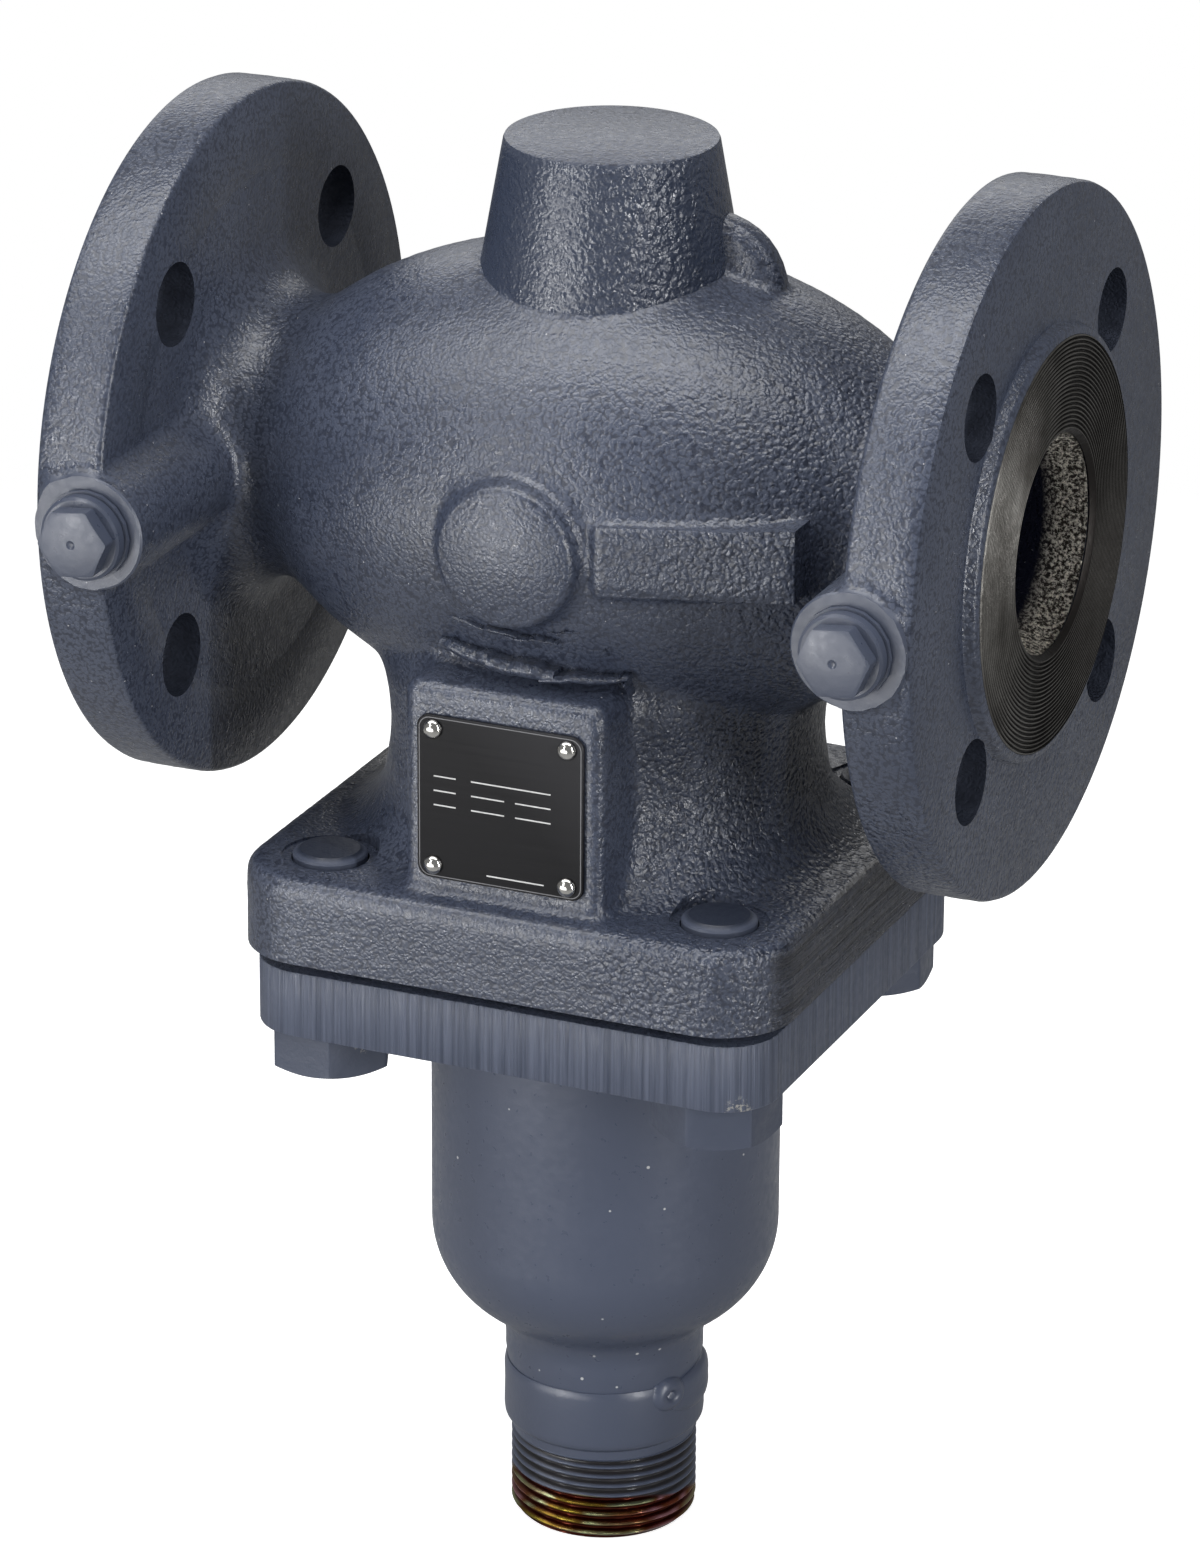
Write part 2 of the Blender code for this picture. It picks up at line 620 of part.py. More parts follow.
def make_seat_ring():
    """The seat screws up into the web. Its lower inner edge is the sealing chamfer."""
    top_z = WEB_TOP_Z + SEAT_TOP_STANDS
    shank_z = WEB_BOTTOM_Z - SEAT_GAP
    piece("seat_ring", turned([(PORT_R, top_z), (SEAT_THREAD_R, top_z), (SEAT_THREAD_R, shank_z),
                               (SEAT_LIP_R, shank_z), (SEAT_LIP_R, SEAT_Z),
                               (PORT_R + SEAT_CHAMFER, SEAT_Z),
                               (PORT_R, SEAT_Z + SEAT_CHAMFER)]), STEEL)


def cone_levels():
    """Stations of the open cone: sealing edge, skirt end, hub end, nose and nut seat."""
    edge_z = SEAT_Z - STROKE - SEAT_PLAY - CONE_EDGE_DROP
    skirt_z = edge_z - CONE_SKIRT_H
    hub_z = skirt_z - (CONE_R - CONE_HUB_R) * CONE_BACK_SLOPE - CONE_HUB_H
    nose_z = edge_z + CONE_R - CONE_NOSE_R
    return edge_z, skirt_z, hub_z, nose_z


def make_cone_and_nut():
    edge_z, skirt_z, hub_z, nose_z = cone_levels()
    bore = STEM_TOP_R + SEAT_GAP
    piece("valve_cone", turned([(bore, nose_z), (CONE_NOSE_R, nose_z), (CONE_R, edge_z),
                                (CONE_R, skirt_z), (CONE_HUB_R, hub_z + CONE_HUB_H),
                                (CONE_HUB_R, hub_z), (bore, hub_z)]), STEEL)
    nut_z = nose_z + SEAT_GAP
    nut = piece("cone_nut", hexagon(CONE_NUT_FLATS, nut_z, nut_z + CONE_NUT_H), STEEL)
    shape_with(nut, helper("cut_cone_nut", rod(bore, nut_z - PAST, nut_z + CONE_NUT_H + PAST)),
               "DIFFERENCE")


def bellows_levels():
    """Stations of the two rings that hold the bellows: top ring, then base ring."""
    neck_top_z = neck_levels()["inside_top"]
    base_low = neck_top_z + SEAT_GAP
    top_high = PLATE_BOTTOM_Z + TOP_RING_DROP - RING_T
    base_high = base_low + RING_T
    top_low = top_high - RING_T
    spigot_l = BELLOWS_CUFF_L - BELLOWS_WALL
    return {"base_low": base_low, "base_high": base_high, "base_spigot": base_high + spigot_l,
            "top_low": top_low, "top_high": top_high, "top_spigot": top_low - spigot_l}


def bellows_profile():
    """The wave of the thin wall, out along its outer side and back along its inner side."""
    levels = bellows_levels()
    low = levels["base_high"] + SEAT_GAP
    high = levels["top_low"] - SEAT_GAP
    first = low + BELLOWS_CUFF_L
    last = high - BELLOWS_CUFF_L
    pitch = (last - first) / BELLOWS_WAVES
    wave = []
    for number in range(BELLOWS_WAVES):
        start = first + number * pitch
        wave += [(BELLOWS_ROOT_R, start + pitch * BELLOWS_ROOT_PART),
                 (BELLOWS_R, start + pitch * BELLOWS_CREST_PART),
                 (BELLOWS_R, start + pitch * (1 - BELLOWS_CREST_PART)),
                 (BELLOWS_ROOT_R, start + pitch * (1 - BELLOWS_ROOT_PART))]
    root_inside = BELLOWS_ROOT_R - BELLOWS_WALL
    inner = [(BELLOWS_CUFF_R, low), (BELLOWS_CUFF_R, first - BELLOWS_WALL),
             (root_inside, first - BELLOWS_WALL)]
    inner += [(r - BELLOWS_WALL, z) for r, z in wave]
    inner += [(root_inside, last + BELLOWS_WALL), (BELLOWS_CUFF_R, last + BELLOWS_WALL),
              (BELLOWS_CUFF_R, high)]
    cuff_outside = BELLOWS_CUFF_R + BELLOWS_WALL
    outer = [(cuff_outside, low), (cuff_outside, first), (BELLOWS_ROOT_R, first)]
    for index, (r, z) in enumerate(wave):
        side = 1 if index % 4 in (2, 3) else -1
        outer.append((r, z + side * BELLOWS_WALL * BELLOWS_SLANT_PART))
    outer += [(BELLOWS_ROOT_R, last), (cuff_outside, last), (cuff_outside, high)]
    return outer + inner[::-1]


def make_bellows():
    piece("bellows", turned(bellows_profile(), "Z", STEPS_BELLOWS), STEEL)
    levels = bellows_levels()
    cuff = BELLOWS_CUFF_R - SEAT_GAP
    bore = STEM_MID_R + SEAT_GAP
    spigot = levels["top_spigot"]
    piece("bellows_top_ring", turned([(bore, levels["top_high"]), (BELLOWS_R, levels["top_high"]),
                                      (BELLOWS_R, levels["top_low"]), (cuff, levels["top_low"]),
                                      (cuff, spigot), (bore, spigot)], "Z", STEPS_BELLOWS),
          STEEL)
    bore = STEM_LOW_R + BASE_RING_PLAY
    spigot = levels["base_spigot"]
    piece("bellows_base_ring", turned([(bore, levels["base_low"]), (BELLOWS_R, levels["base_low"]),
                                       (BELLOWS_R, levels["base_high"]),
                                       (cuff, levels["base_high"]), (cuff, spigot),
                                       (bore, spigot)], "Z", STEPS_BELLOWS), STEEL)
    nut_z = levels["top_high"] + SEAT_GAP
    nut = piece("bellows_nut", hexagon(BELLOWS_NUT_FLATS, nut_z, nut_z + BELLOWS_NUT_H),
                STEEL)
    hole = rod(STEM_MID_R + SEAT_GAP, nut_z - PAST, nut_z + BELLOWS_NUT_H + PAST)
    shape_with(nut, helper("cut_bellows_nut", hole), "DIFFERENCE")


def make_stem():
    """One turned spindle in three diameters, with a shoulder under the cone and one under
    the bellows' top ring."""
    cone_shoulder = cone_levels()[2] - SEAT_GAP
    ring_shoulder = bellows_levels()["top_spigot"] - SEAT_GAP
    end_z = neck_levels()["end"] + STEM_END_RECESS
    profile = [(0, STEM_TOP_Z), (STEM_TOP_R - STEM_CHAMFER, STEM_TOP_Z),
               (STEM_TOP_R, STEM_TOP_Z - STEM_CHAMFER), (STEM_TOP_R, cone_shoulder),
               (STEM_MID_R, cone_shoulder), (STEM_MID_R, ring_shoulder),
               (STEM_LOW_R, ring_shoulder), (STEM_LOW_R, end_z + STEM_CHAMFER),
               (STEM_LOW_R - STEM_CHAMFER, end_z), (0, end_z)]
    piece("valve_stem", turned(profile, "Z", STEPS_SMALL), STEEL)


def make_guide_bush():
    low = GUIDE_LOW_Z + SEAT_GAP
    piece("upper_guide_bush", tube(STEM_TOP_R + RUN_GAP, GUIDE_BORE_R - SEAT_GAP, low,
                                   low + GUIDE_BUSH_L, steps=STEPS_SMALL, turn=GUIDE_TURN),
          BRONZE)


def make_plate_and_gasket():
    """The machined plate, with the round spigot that centres it in the body's mouth."""
    levels = [(PLATE_BOTTOM_Z, PLATE_HALF - PLATE_EDGE), (PLATE_BOTTOM_Z + PLATE_EDGE, PLATE_HALF),
              (PLATE_TOP_Z - PLATE_EDGE, PLATE_HALF), (PLATE_TOP_Z, PLATE_HALF - PLATE_EDGE)]
    plate = piece("bonnet_plate", rounded_prism(levels, PLATE_CORNER), PAINT)
    spigot_r = MOUTH_R - SEAT_GAP
    spigot = rod(spigot_r, PLATE_TOP_Z - PLATE_T / 2, PLATE_TOP_Z + SPIGOT_H, steps=STEPS_RING)
    shape_with(plate, helper("form_spigot", spigot), "UNION")
    seat_r = CUP_R + SEAT_GAP
    seat_z = PLATE_BOTTOM_Z + CUP_SEAT
    bore_r = spigot_r - SPIGOT_WALL
    bore = turned([(0, PLATE_BOTTOM_Z - PAST), (seat_r, PLATE_BOTTOM_Z - PAST), (seat_r, seat_z),
                   (bore_r, seat_z), (bore_r, PLATE_TOP_Z + SPIGOT_H + PAST),
                   (0, PLATE_TOP_Z + SPIGOT_H + PAST)], "Z", STEPS_CUP)
    shape_with(plate, helper("cut_plate_bore", bore), "DIFFERENCE")
    for number, (x, y) in enumerate(corner_spots(COVER_BOLT_OFFSET), 1):
        hole = rod(BOLT_R + BOLT_HOLE_PLAY, PLATE_BOTTOM_Z - PAST, PLATE_TOP_Z + PAST)
        shape_with(plate, helper(f"cut_plate_hole_{number}", move(hole, Vector((x, y, 0)))),
                   "DIFFERENCE")
    inner = spigot_r + SEAT_GAP
    piece("body_gasket", tube(inner, inner + GASKET_W, PLATE_TOP_Z + SEAT_GAP,
                              SQUARE_BOTTOM_Z - SEAT_GAP), GRAPHITE)


def make_cover_bolts():
    head_top = PLATE_BOTTOM_Z - SEAT_GAP
    tip_z = SQUARE_TOP_Z + BOLT_TIP_STANDS
    spots = zip(corner_spots(COVER_BOLT_OFFSET), BOLT_TURNS)
    for number, ((x, y), turn) in enumerate(spots, 1):
        head = hexagon(BOLT_HEAD_FLATS, head_top - BOLT_HEAD_H, head_top, BOLT_HEAD_CHAMFER)
        bolt = piece(f"cover_bolt_{number}", head, PAINT)
        shank = turned([(0, head_top - BOLT_HEAD_H / 2), (BOLT_R, head_top - BOLT_HEAD_H / 2),
                        (BOLT_R, tip_z - BOLT_CHAMFER), (BOLT_R - BOLT_CHAMFER, tip_z), (0, tip_z)],
                       "Z", STEPS_SMALL)
        tool = helper(f"form_bolt_shank_{number}", shank)
        shape_with(bolt, tool, "UNION")
        for placed in (bolt, tool):
            placed.location = (x, y, 0)
            placed.rotation_euler = (0, 0, math.radians(turn))


def cup_curve(inset):
    """The cup's outline from its dome to its neck, set in by a wall thickness."""
    dome_centre = (CUP_R - DOME_R, CUP_DOME_Z)
    cos_turn = math.cos(DOME_TURN)
    sin_turn = math.sin(DOME_TURN)
    leave_r = dome_centre[0] + DOME_R * cos_turn
    leave_z = dome_centre[1] - DOME_R * sin_turn
    meet_r = CUP_NECK_R + CUP_NECK_FILLET * (1 - cos_turn)
    meet_z = leave_z - (leave_r - meet_r) * cos_turn / sin_turn
    neck_centre = (CUP_NECK_R + CUP_NECK_FILLET, meet_z - CUP_NECK_FILLET * sin_turn)
    curve = arc(dome_centre, DOME_R - inset, 0, -DOME_TURN, DOME_POINTS)
    curve += arc(neck_centre, CUP_NECK_FILLET + inset, math.pi - DOME_TURN, math.pi,
                 FILLET_POINTS)
    return curve


def neck_levels():
    """Stations of the threaded neck, from its top inside the cup to its end."""
    weld_z = cup_curve(0)[-1][1] - CUP_NECK_L
    collar_z = weld_z - SEAT_GAP - COLLAR_L
    thread_z = collar_z - COLLAR_TAPER
    end_z = thread_z - THREAD_L
    return {"cup_end": weld_z, "collar_top": weld_z - SEAT_GAP, "collar_low": collar_z,
            "thread_top": thread_z, "end": end_z, "inside_top": weld_z + NECK_INSIDE_L,
            "gland_top": end_z + GLAND_RECESS + GLAND_H}


def make_cup():
    """The drawn cup. Its rim stands in the plate's counterbore, where it is welded."""
    rim_z = PLATE_BOTTOM_Z + CUP_SEAT - SEAT_GAP
    end_z = neck_levels()["cup_end"]
    outer = [(CUP_R, rim_z)] + cup_curve(0) + [(CUP_NECK_R, end_z)]
    inner = [(CUP_R - CUP_WALL, rim_z)] + cup_curve(CUP_WALL) + [(CUP_NECK_R - CUP_WALL, end_z)]
    piece("bellows_housing", turned(outer + inner[::-1], "Z", STEPS_CUP), PAINT)


def make_neck():
    """The turned neck: a spigot inside the cup, the weld collar and the actuator thread."""
    at = neck_levels()
    inside_r = CUP_NECK_R - CUP_WALL - SEAT_GAP
    lip_r = STEM_LOW_R + NECK_LIP_PLAY
    lip_z = at["inside_top"] - NECK_LIP_H
    gland_bore = GLAND_R + SEAT_GAP
    outer = [(inside_r, at["inside_top"]), (inside_r, at["collar_top"]),
             (COLLAR_R, at["collar_top"]), (COLLAR_R, at["collar_low"]), (THREAD_R, at["thread_top"]),
             (THREAD_R, at["end"] + THREAD_CHAMFER), (THREAD_R - THREAD_CHAMFER, at["end"])]
    inner = [(gland_bore, at["end"]), (gland_bore, at["gland_top"]),
             (NECK_BORE_R, at["gland_top"]), (NECK_BORE_R, lip_z), (lip_r, lip_z),
             (lip_r, at["inside_top"])]
    piece("threaded_neck", turned(outer + inner, "Z", STEPS_CUP), PAINT)


def make_neck_sealing():
    """Bush, two seals with a spacer between them, and the gland screw that holds them in."""
    at = neck_levels()
    inner = STEM_LOW_R + RUN_GAP
    outer = NECK_BORE_R - SEAT_GAP
    top = at["inside_top"] - NECK_LIP_H - SEAT_GAP
    piece("neck_bush", tube(inner, outer, top - NECK_BUSH_L, top, steps=STEPS_SMALL),
          BRONZE)
    top -= NECK_BUSH_L + SEAT_GAP
    edge = SEAL_ROUND
    stack = [("stem_seal_upper", SEAL_H, SEAL_BLACK), ("seal_spacer", SPACER_H, STEEL),
             ("stem_seal_lower", SEAL_H, SEAL_BLACK)]
    for name, height, finish in stack:
        low = top - height
        ring = tube(inner, outer, low, top, steps=STEPS_SMALL)
        if finish is SEAL_BLACK:
            ring.free()
            ring = turned([(inner + edge, top), (outer - edge, top), (outer, top - edge),
                           (outer, low + edge), (outer - edge, low), (inner + edge, low),
                           (inner, low + edge), (inner, top - edge)], "Z", STEPS_SMALL)
        piece(name, ring, finish)
        top = low - SEAT_GAP
    face_z = at["end"] + GLAND_RECESS
    step_z = at["gland_top"] - SEAT_GAP
    gland = piece("gland_screw", turned([(inner, face_z), (GLAND_R, face_z), (GLAND_R, step_z),
                                         (outer, step_z), (outer, top), (inner, top)]), BRONZE)
    slot = raised_block((-GLAND_SLOT_W / 2, GLAND_SLOT_W / 2), -GLAND_R - PAST,
                        (face_z - PAST, face_z + GLAND_SLOT_DEPTH), 2 * (GLAND_R + PAST),
                        GLAND_SLOT_EDGE)
    shape_with(gland, helper("cut_gland_slot", slot), "DIFFERENCE")


def make_tap_plugs():
    """A collar plug with a hexagon head in each pressure tap boss, over a sealing ring."""
    seal_y = TAP_FACE_Y - SEAT_GAP
    collar_y = seal_y - TAP_SEAL_H - SEAT_GAP
    head_y = collar_y - PLUG_COLLAR_H
    for side, end in ((-1, "inlet"), (1, "outlet")):
        place = Vector((side * TAP_X, 0, 0))
        ring = tube(PLUG_THREAD_R + SEAT_GAP, TAP_SEAL_R, seal_y - TAP_SEAL_H, seal_y, "Y",
                    STEPS_SMALL)
        piece("tap_seal_" + end, move(ring, place), SEAL_GREY)
        thread_end = TAP_FACE_Y + PLUG_THREAD_L
        base = turned([(0, head_y), (PLUG_COLLAR_R - PLUG_EDGE, head_y),
                       (PLUG_COLLAR_R, head_y + PLUG_EDGE), (PLUG_COLLAR_R, collar_y),
                       (PLUG_THREAD_R, collar_y), (PLUG_THREAD_R, thread_end - PLUG_POINT),
                       (PLUG_THREAD_R - PLUG_POINT, thread_end), (0, thread_end)], "Y",
                      STEPS_SMALL)
        plug = piece("tap_plug_" + end, move(base, place), PAINT)
        head = hexagon(PLUG_HEX_FLATS, -PLUG_HEX_H, PLUG_COLLAR_H / 2, PLUG_HEX_CHAMFER)
        bmesh.ops.rotate(head, verts=head.verts, matrix=Matrix.Rotation(math.radians(PLUG_TURN), 3, "Z"))
        bmesh.ops.rotate(head, verts=head.verts, matrix=Matrix.Rotation(-math.pi / 2, 3, "X"))
        move(head, place + Vector((0, head_y, 0)))
        shape_with(plug, helper("form_plug_head_" + end, head), "UNION")


def make_nameplate():
    """The thin plate on the front pad, held by a drive rivet at each corner."""
    back_y = FRONT_PAD_Y - SEAT_GAP
    front_y = back_y - NAMEPLATE_T
    half_w = NAMEPLATE_W / 2 - NAMEPLATE_CORNER
    half_h = NAMEPLATE_H / 2 - NAMEPLATE_CORNER
    outline = []
    for x, z, turn in ((half_w, half_h, 0), (-half_w, half_h, 1), (-half_w, -half_h, 2),
                       (half_w, -half_h, 3)):
        start = turn * math.pi / 2
        outline += arc((x, z + NAMEPLATE_Z), NAMEPLATE_CORNER, start, start + math.pi / 2,
                       ROUND_POINTS)
    sheet = loft([[(x, y, z) for x, z in outline] for y in (front_y, back_y)])
    plate = piece("nameplate", sheet, ANODISED)
    for number, (x, z) in enumerate(rivet_spots(), 1):
        hole = rod(RIVET_SHANK_R + SEAT_GAP, front_y - PAST, back_y + PAST, "Y", STEPS_PIN)
        shape_with(plate, helper(f"cut_plate_rivet_{number}", move(hole, Vector((x, 0, z)))),
                   "DIFFERENCE")
        head_y = front_y - SEAT_GAP
        dome = [(RIVET_HEAD_R * math.sin(a), head_y - RIVET_HEAD_H * math.cos(a))
                for a in [math.pi / 2 * i / RIVET_POINTS for i in range(RIVET_POINTS + 1)]]
        shank_end = FRONT_PAD_Y + RIVET_SHANK_L
        rivet = turned(dome + [(RIVET_SHANK_R, head_y), (RIVET_SHANK_R, shank_end),
                               (0, shank_end)], "Y", STEPS_PIN)
        piece(f"nameplate_rivet_{number}", move(rivet, Vector((x, 0, z))), STEEL)


clear_scene()
make_body()
make_seat_ring()
make_cone_and_nut()
make_stem()
make_guide_bush()
make_bellows()
make_plate_and_gasket()
make_cover_bolts()
make_cup()
make_neck()
make_neck_sealing()
make_tap_plugs()
make_nameplate()
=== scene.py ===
"""Looks for the flanged globe valve: a painted iron casting with turned port faces, a bolted
square plate, a drawn cup with a welded threaded neck, two plugs and a riveted plate.
"""

import math

import bpy
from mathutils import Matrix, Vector


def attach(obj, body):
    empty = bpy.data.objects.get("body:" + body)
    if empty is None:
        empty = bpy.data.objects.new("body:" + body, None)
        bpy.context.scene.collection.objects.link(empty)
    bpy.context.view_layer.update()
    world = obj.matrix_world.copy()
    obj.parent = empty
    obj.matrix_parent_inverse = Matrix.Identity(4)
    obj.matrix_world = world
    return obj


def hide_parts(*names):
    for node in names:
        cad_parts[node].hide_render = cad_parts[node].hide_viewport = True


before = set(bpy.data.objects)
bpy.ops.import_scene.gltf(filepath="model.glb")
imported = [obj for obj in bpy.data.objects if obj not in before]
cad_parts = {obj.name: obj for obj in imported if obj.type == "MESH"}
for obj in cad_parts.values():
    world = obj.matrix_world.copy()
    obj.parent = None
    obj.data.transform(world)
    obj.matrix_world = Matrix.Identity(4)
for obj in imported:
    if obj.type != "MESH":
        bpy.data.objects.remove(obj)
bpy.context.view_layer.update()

bpy.context.scene.view_settings.view_transform = "Standard"


# Camera.
# It stands a metre and a half away, to the right of the nameplate side and above the pipe,
# with a long lens.
view_data = bpy.data.cameras.new("camera")
view_data.lens = 161.85
view_data.sensor_width = 36.0
view_data.clip_end = 50.0
camera = bpy.data.objects.new("camera", view_data)
camera.location = (0.55778, -1.28898, 0.48506)
camera.rotation_euler = (math.radians(68.4697), math.radians(-0.3070), math.radians(23.5911))
bpy.context.scene.collection.objects.link(camera)
bpy.context.scene.camera = camera


# Room and lamps.
# A pale floor fades into a white room, and is clear from below. Two upright soft boxes stand at
# the front corners, wide ones hang overhead and behind, and small ones fill the left and the foot.
FLOOR_Z = -0.2404
MIRRORED_ROOM = 0.20   # of white, as the room shows in metal and gloss


def node(owner, kind, **values):
    """One node of a material or world, with its properties or the values of its sockets."""
    made = owner.node_tree.nodes.new("ShaderNode" + kind)
    for key, value in values.items():
        if key.startswith("in_"):
            spot = key[3:]
            made.inputs[int(spot) if spot.isdigit() else spot].default_value = value
        else:
            setattr(made, key, value)
    return made


def wire(owner, source, target):
    owner.node_tree.links.new(source, target)


def sum_of(owner, kind, first, second=0.0):
    """One sum of two sockets, or of a socket and a number."""
    made = node(owner, "Math", operation=kind)
    wire(owner, first, made.inputs[0])
    if isinstance(second, (int, float)):
        made.inputs[1].default_value = second
    else:
        wire(owner, second, made.inputs[1])
    return made.outputs["Value"]


def window(owner, value, low, high, floor_value=0.0, top_value=1.0):
    """A value fitted between two limits and kept there."""
    made = node(owner, "MapRange", in_1=low, in_2=high, in_3=floor_value, in_4=top_value)
    wire(owner, value, made.inputs[0])
    return made.outputs["Result"]


def whiteness(owner):
    """One to the camera, and the mirrored room's share to glossy and transmitted rays."""
    rays = node(owner, "LightPath").outputs
    mirrored = sum_of(owner, "MAXIMUM", rays["Is Glossy Ray"], rays["Is Transmission Ray"])
    dimmed = sum_of(owner, "MULTIPLY", mirrored, MIRRORED_ROOM)
    return sum_of(owner, "MAXIMUM", rays["Is Camera Ray"], dimmed)


bpy.ops.object.select_all(action="DESELECT")
bpy.ops.mesh.primitive_plane_add(size=6.0, location=(0, 0, FLOOR_Z))
floor = bpy.context.object
floor.name = "floor"
bpy.ops.object.transform_apply(location=True, rotation=True, scale=True)
floor_white = bpy.data.materials.new("floor_white")
floor_white.use_nodes = True
shader = floor_white.node_tree.nodes["Principled BSDF"]
shader.inputs["Roughness"].default_value = 0.9
shader.inputs["Emission Color"].default_value = (1, 1, 1, 1)
seen = whiteness(floor_white)
wire(floor_white, window(floor_white, seen, 0, 1, 0.12, 0.93), shader.inputs["Base Color"])
wire(floor_white, sum_of(floor_white, "MULTIPLY", seen, 0.80), shader.inputs["Emission Strength"])
reach = node(floor_white, "VectorMath", operation="LENGTH")
wire(floor_white, node(floor_white, "TexCoord").outputs["Object"], reach.inputs[0])
near = window(floor_white, reach.outputs["Value"], 0.25, 0.75, 1, 0)
above = window(floor_white, node(floor_white, "NewGeometry").outputs["Backfacing"], 0, 1, 1, 0)
blend = node(floor_white, "MixShader")
wire(floor_white, sum_of(floor_white, "MULTIPLY", near, above), blend.inputs[0])
wire(floor_white, node(floor_white, "BsdfTransparent").outputs[0], blend.inputs[1])
wire(floor_white, shader.outputs[0], blend.inputs[2])
wire(floor_white, blend.outputs[0],
     floor_white.node_tree.nodes["Material Output"].inputs["Surface"])
floor.data.materials.append(floor_white)

room = bpy.data.worlds.new("room")
room.use_nodes = True
bpy.context.scene.world = room
sky = room.node_tree.nodes["Background"]
sky.inputs["Color"].default_value = (1, 1, 1, 1)
wire(room, window(room, whiteness(room), 0, 1, 0.03, 1), sky.inputs["Strength"])


def soft_box(name, azimuth, height, distance, width, length, power, aim=(0, 0, -0.05)):
    """A soft box at an azimuth round the valve, turned to face it."""
    data = bpy.data.lights.new(name, "AREA")
    data.shape = "RECTANGLE"
    data.size, data.size_y, data.energy = width, length, power
    lamp = bpy.data.objects.new(name, data)
    turn = math.radians(azimuth)
    lamp.location = (distance * math.sin(turn), -distance * math.cos(turn), height)
    look = Vector(aim) - lamp.location
    lamp.rotation_euler = look.to_track_quat("-Z", "Y").to_euler()
    bpy.context.scene.collection.objects.link(lamp)


soft_box("front_left_box", -25, 0.25, 1.4, 0.08, 1.3, 8.0)
soft_box("front_right_box", 62, 0.20, 1.4, 0.04, 1.3, 12.5)
soft_box("left_high_box", -60, 0.9, 0.8, 0.8, 0.6, 4.0)
soft_box("front_low_box", -24, -0.20, 0.8, 0.9, 0.35, 3.0)
soft_box("overhead_box", 0, 1.20, 0.20, 1.3, 0.7, 13.5)
soft_box("back_box", 204, 0.62, 1.2, 1.2, 0.7, 3.8, (0, 0, 0.05))


# Body casting.
# Grey iron poured in a sand mould: an egg-shaped barrel between two port flanges, a blind
# boss on top, a skirt down to a square flange, and pads, a lug and two plug bosses.
HAIR = 0.00001
FACE_X = 0.100
FLANGE_BACK_X = 0.082
FLANGE_R = 0.0750
BARREL_R = 0.0520
BARREL_HALF = 0.0813
NECK_X = 0.063
BOSS_TOP_Z = 0.0752
SQUARE_TOP_Z = -0.076
SQUARE_BOTTOM_Z = -0.095
SQUARE_HALF = 0.0620
PAD_Y = -0.0552
TAP_X = 0.084
TAP_Y = -0.076
FLANGE_HOLE_AT = 0.0389   # from the pipe's axis, each way
BOLT_AT = 0.0446          # from the stem's axis, each way
RIVET_AT = 0.01515        # from the nameplate's middle, each way
NAMEPLATE_Z = -0.0541
FAR_SIDE = 0.9935         # draws the far side in, for the room that the sand skin takes
PAINT_DARK = (0.043, 0.053, 0.083)
PAINT_PALE = (0.065, 0.077, 0.113)
# Painted shade for the clefts between the sand grains.
PAINT_CLEFT_SHADE = (0.028, 0.034, 0.054)


def bend(centre, radius, start, end, count):
    """Points on an arc, with angles in degrees."""
    turns = [math.radians(start + (end - start) * i / count) for i in range(count + 1)]
    return [(centre[0] + radius * math.cos(a), centre[1] + radius * math.sin(a)) for a in turns]


def pick(piece):
    """Make a piece the active one, and the only one selected."""
    bpy.ops.object.select_all(action="DESELECT")
    piece.select_set(True)
    bpy.context.view_layer.objects.active = piece


def settle(piece, axis="Z"):
    """Point a piece turned along Z down another axis, and put its place in its mesh."""
    if axis != "Z":
        piece.rotation_euler = (0, math.pi / 2, 0) if axis == "X" else (-math.pi / 2, 0, 0)
    pick(piece)
    bpy.ops.object.transform_apply(location=True, rotation=True, scale=True)
    return piece


def shift(piece, *step):
    """Move a piece's mesh, and leave its origin."""
    for corner in piece.data.vertices:
        corner.co += Vector(step)
    return piece


def turn_wall(name, points, axis="Z", steps=96):
    """Draw a round wall up ring by ring, as on a lathe, through (radius, station) points.

    A wall that doesn't come back to its start is closed on the axis at both ends.
    """
    if points[0] != points[-1]:
        points = [(HAIR, points[0][1]), *points, (HAIR, points[-1][1])]
    bpy.ops.object.select_all(action="DESELECT")
    bpy.ops.mesh.primitive_circle_add(vertices=steps, radius=points[0][0])
    piece = bpy.context.object
    piece.name = name
    bpy.ops.object.mode_set(mode="EDIT")
    bpy.ops.mesh.select_all(action="SELECT")
    bpy.ops.transform.translate(value=(0, 0, points[0][1]))
    for (r, z), (next_r, next_z) in zip(points, points[1:]):
        bpy.ops.mesh.extrude_edges_move(TRANSFORM_OT_translate={"value": (0, 0, next_z - z)})
        grow = next_r / r
        if grow != 1:
            bpy.ops.transform.resize(value=(grow, grow, 1), center_override=(0, 0, next_z))
    bpy.ops.mesh.select_all(action="SELECT")
    bpy.ops.mesh.remove_doubles(threshold=HAIR * 3)
    bpy.ops.mesh.normals_make_consistent(inside=False)
    bpy.ops.object.mode_set(mode="OBJECT")
    return settle(piece, axis)


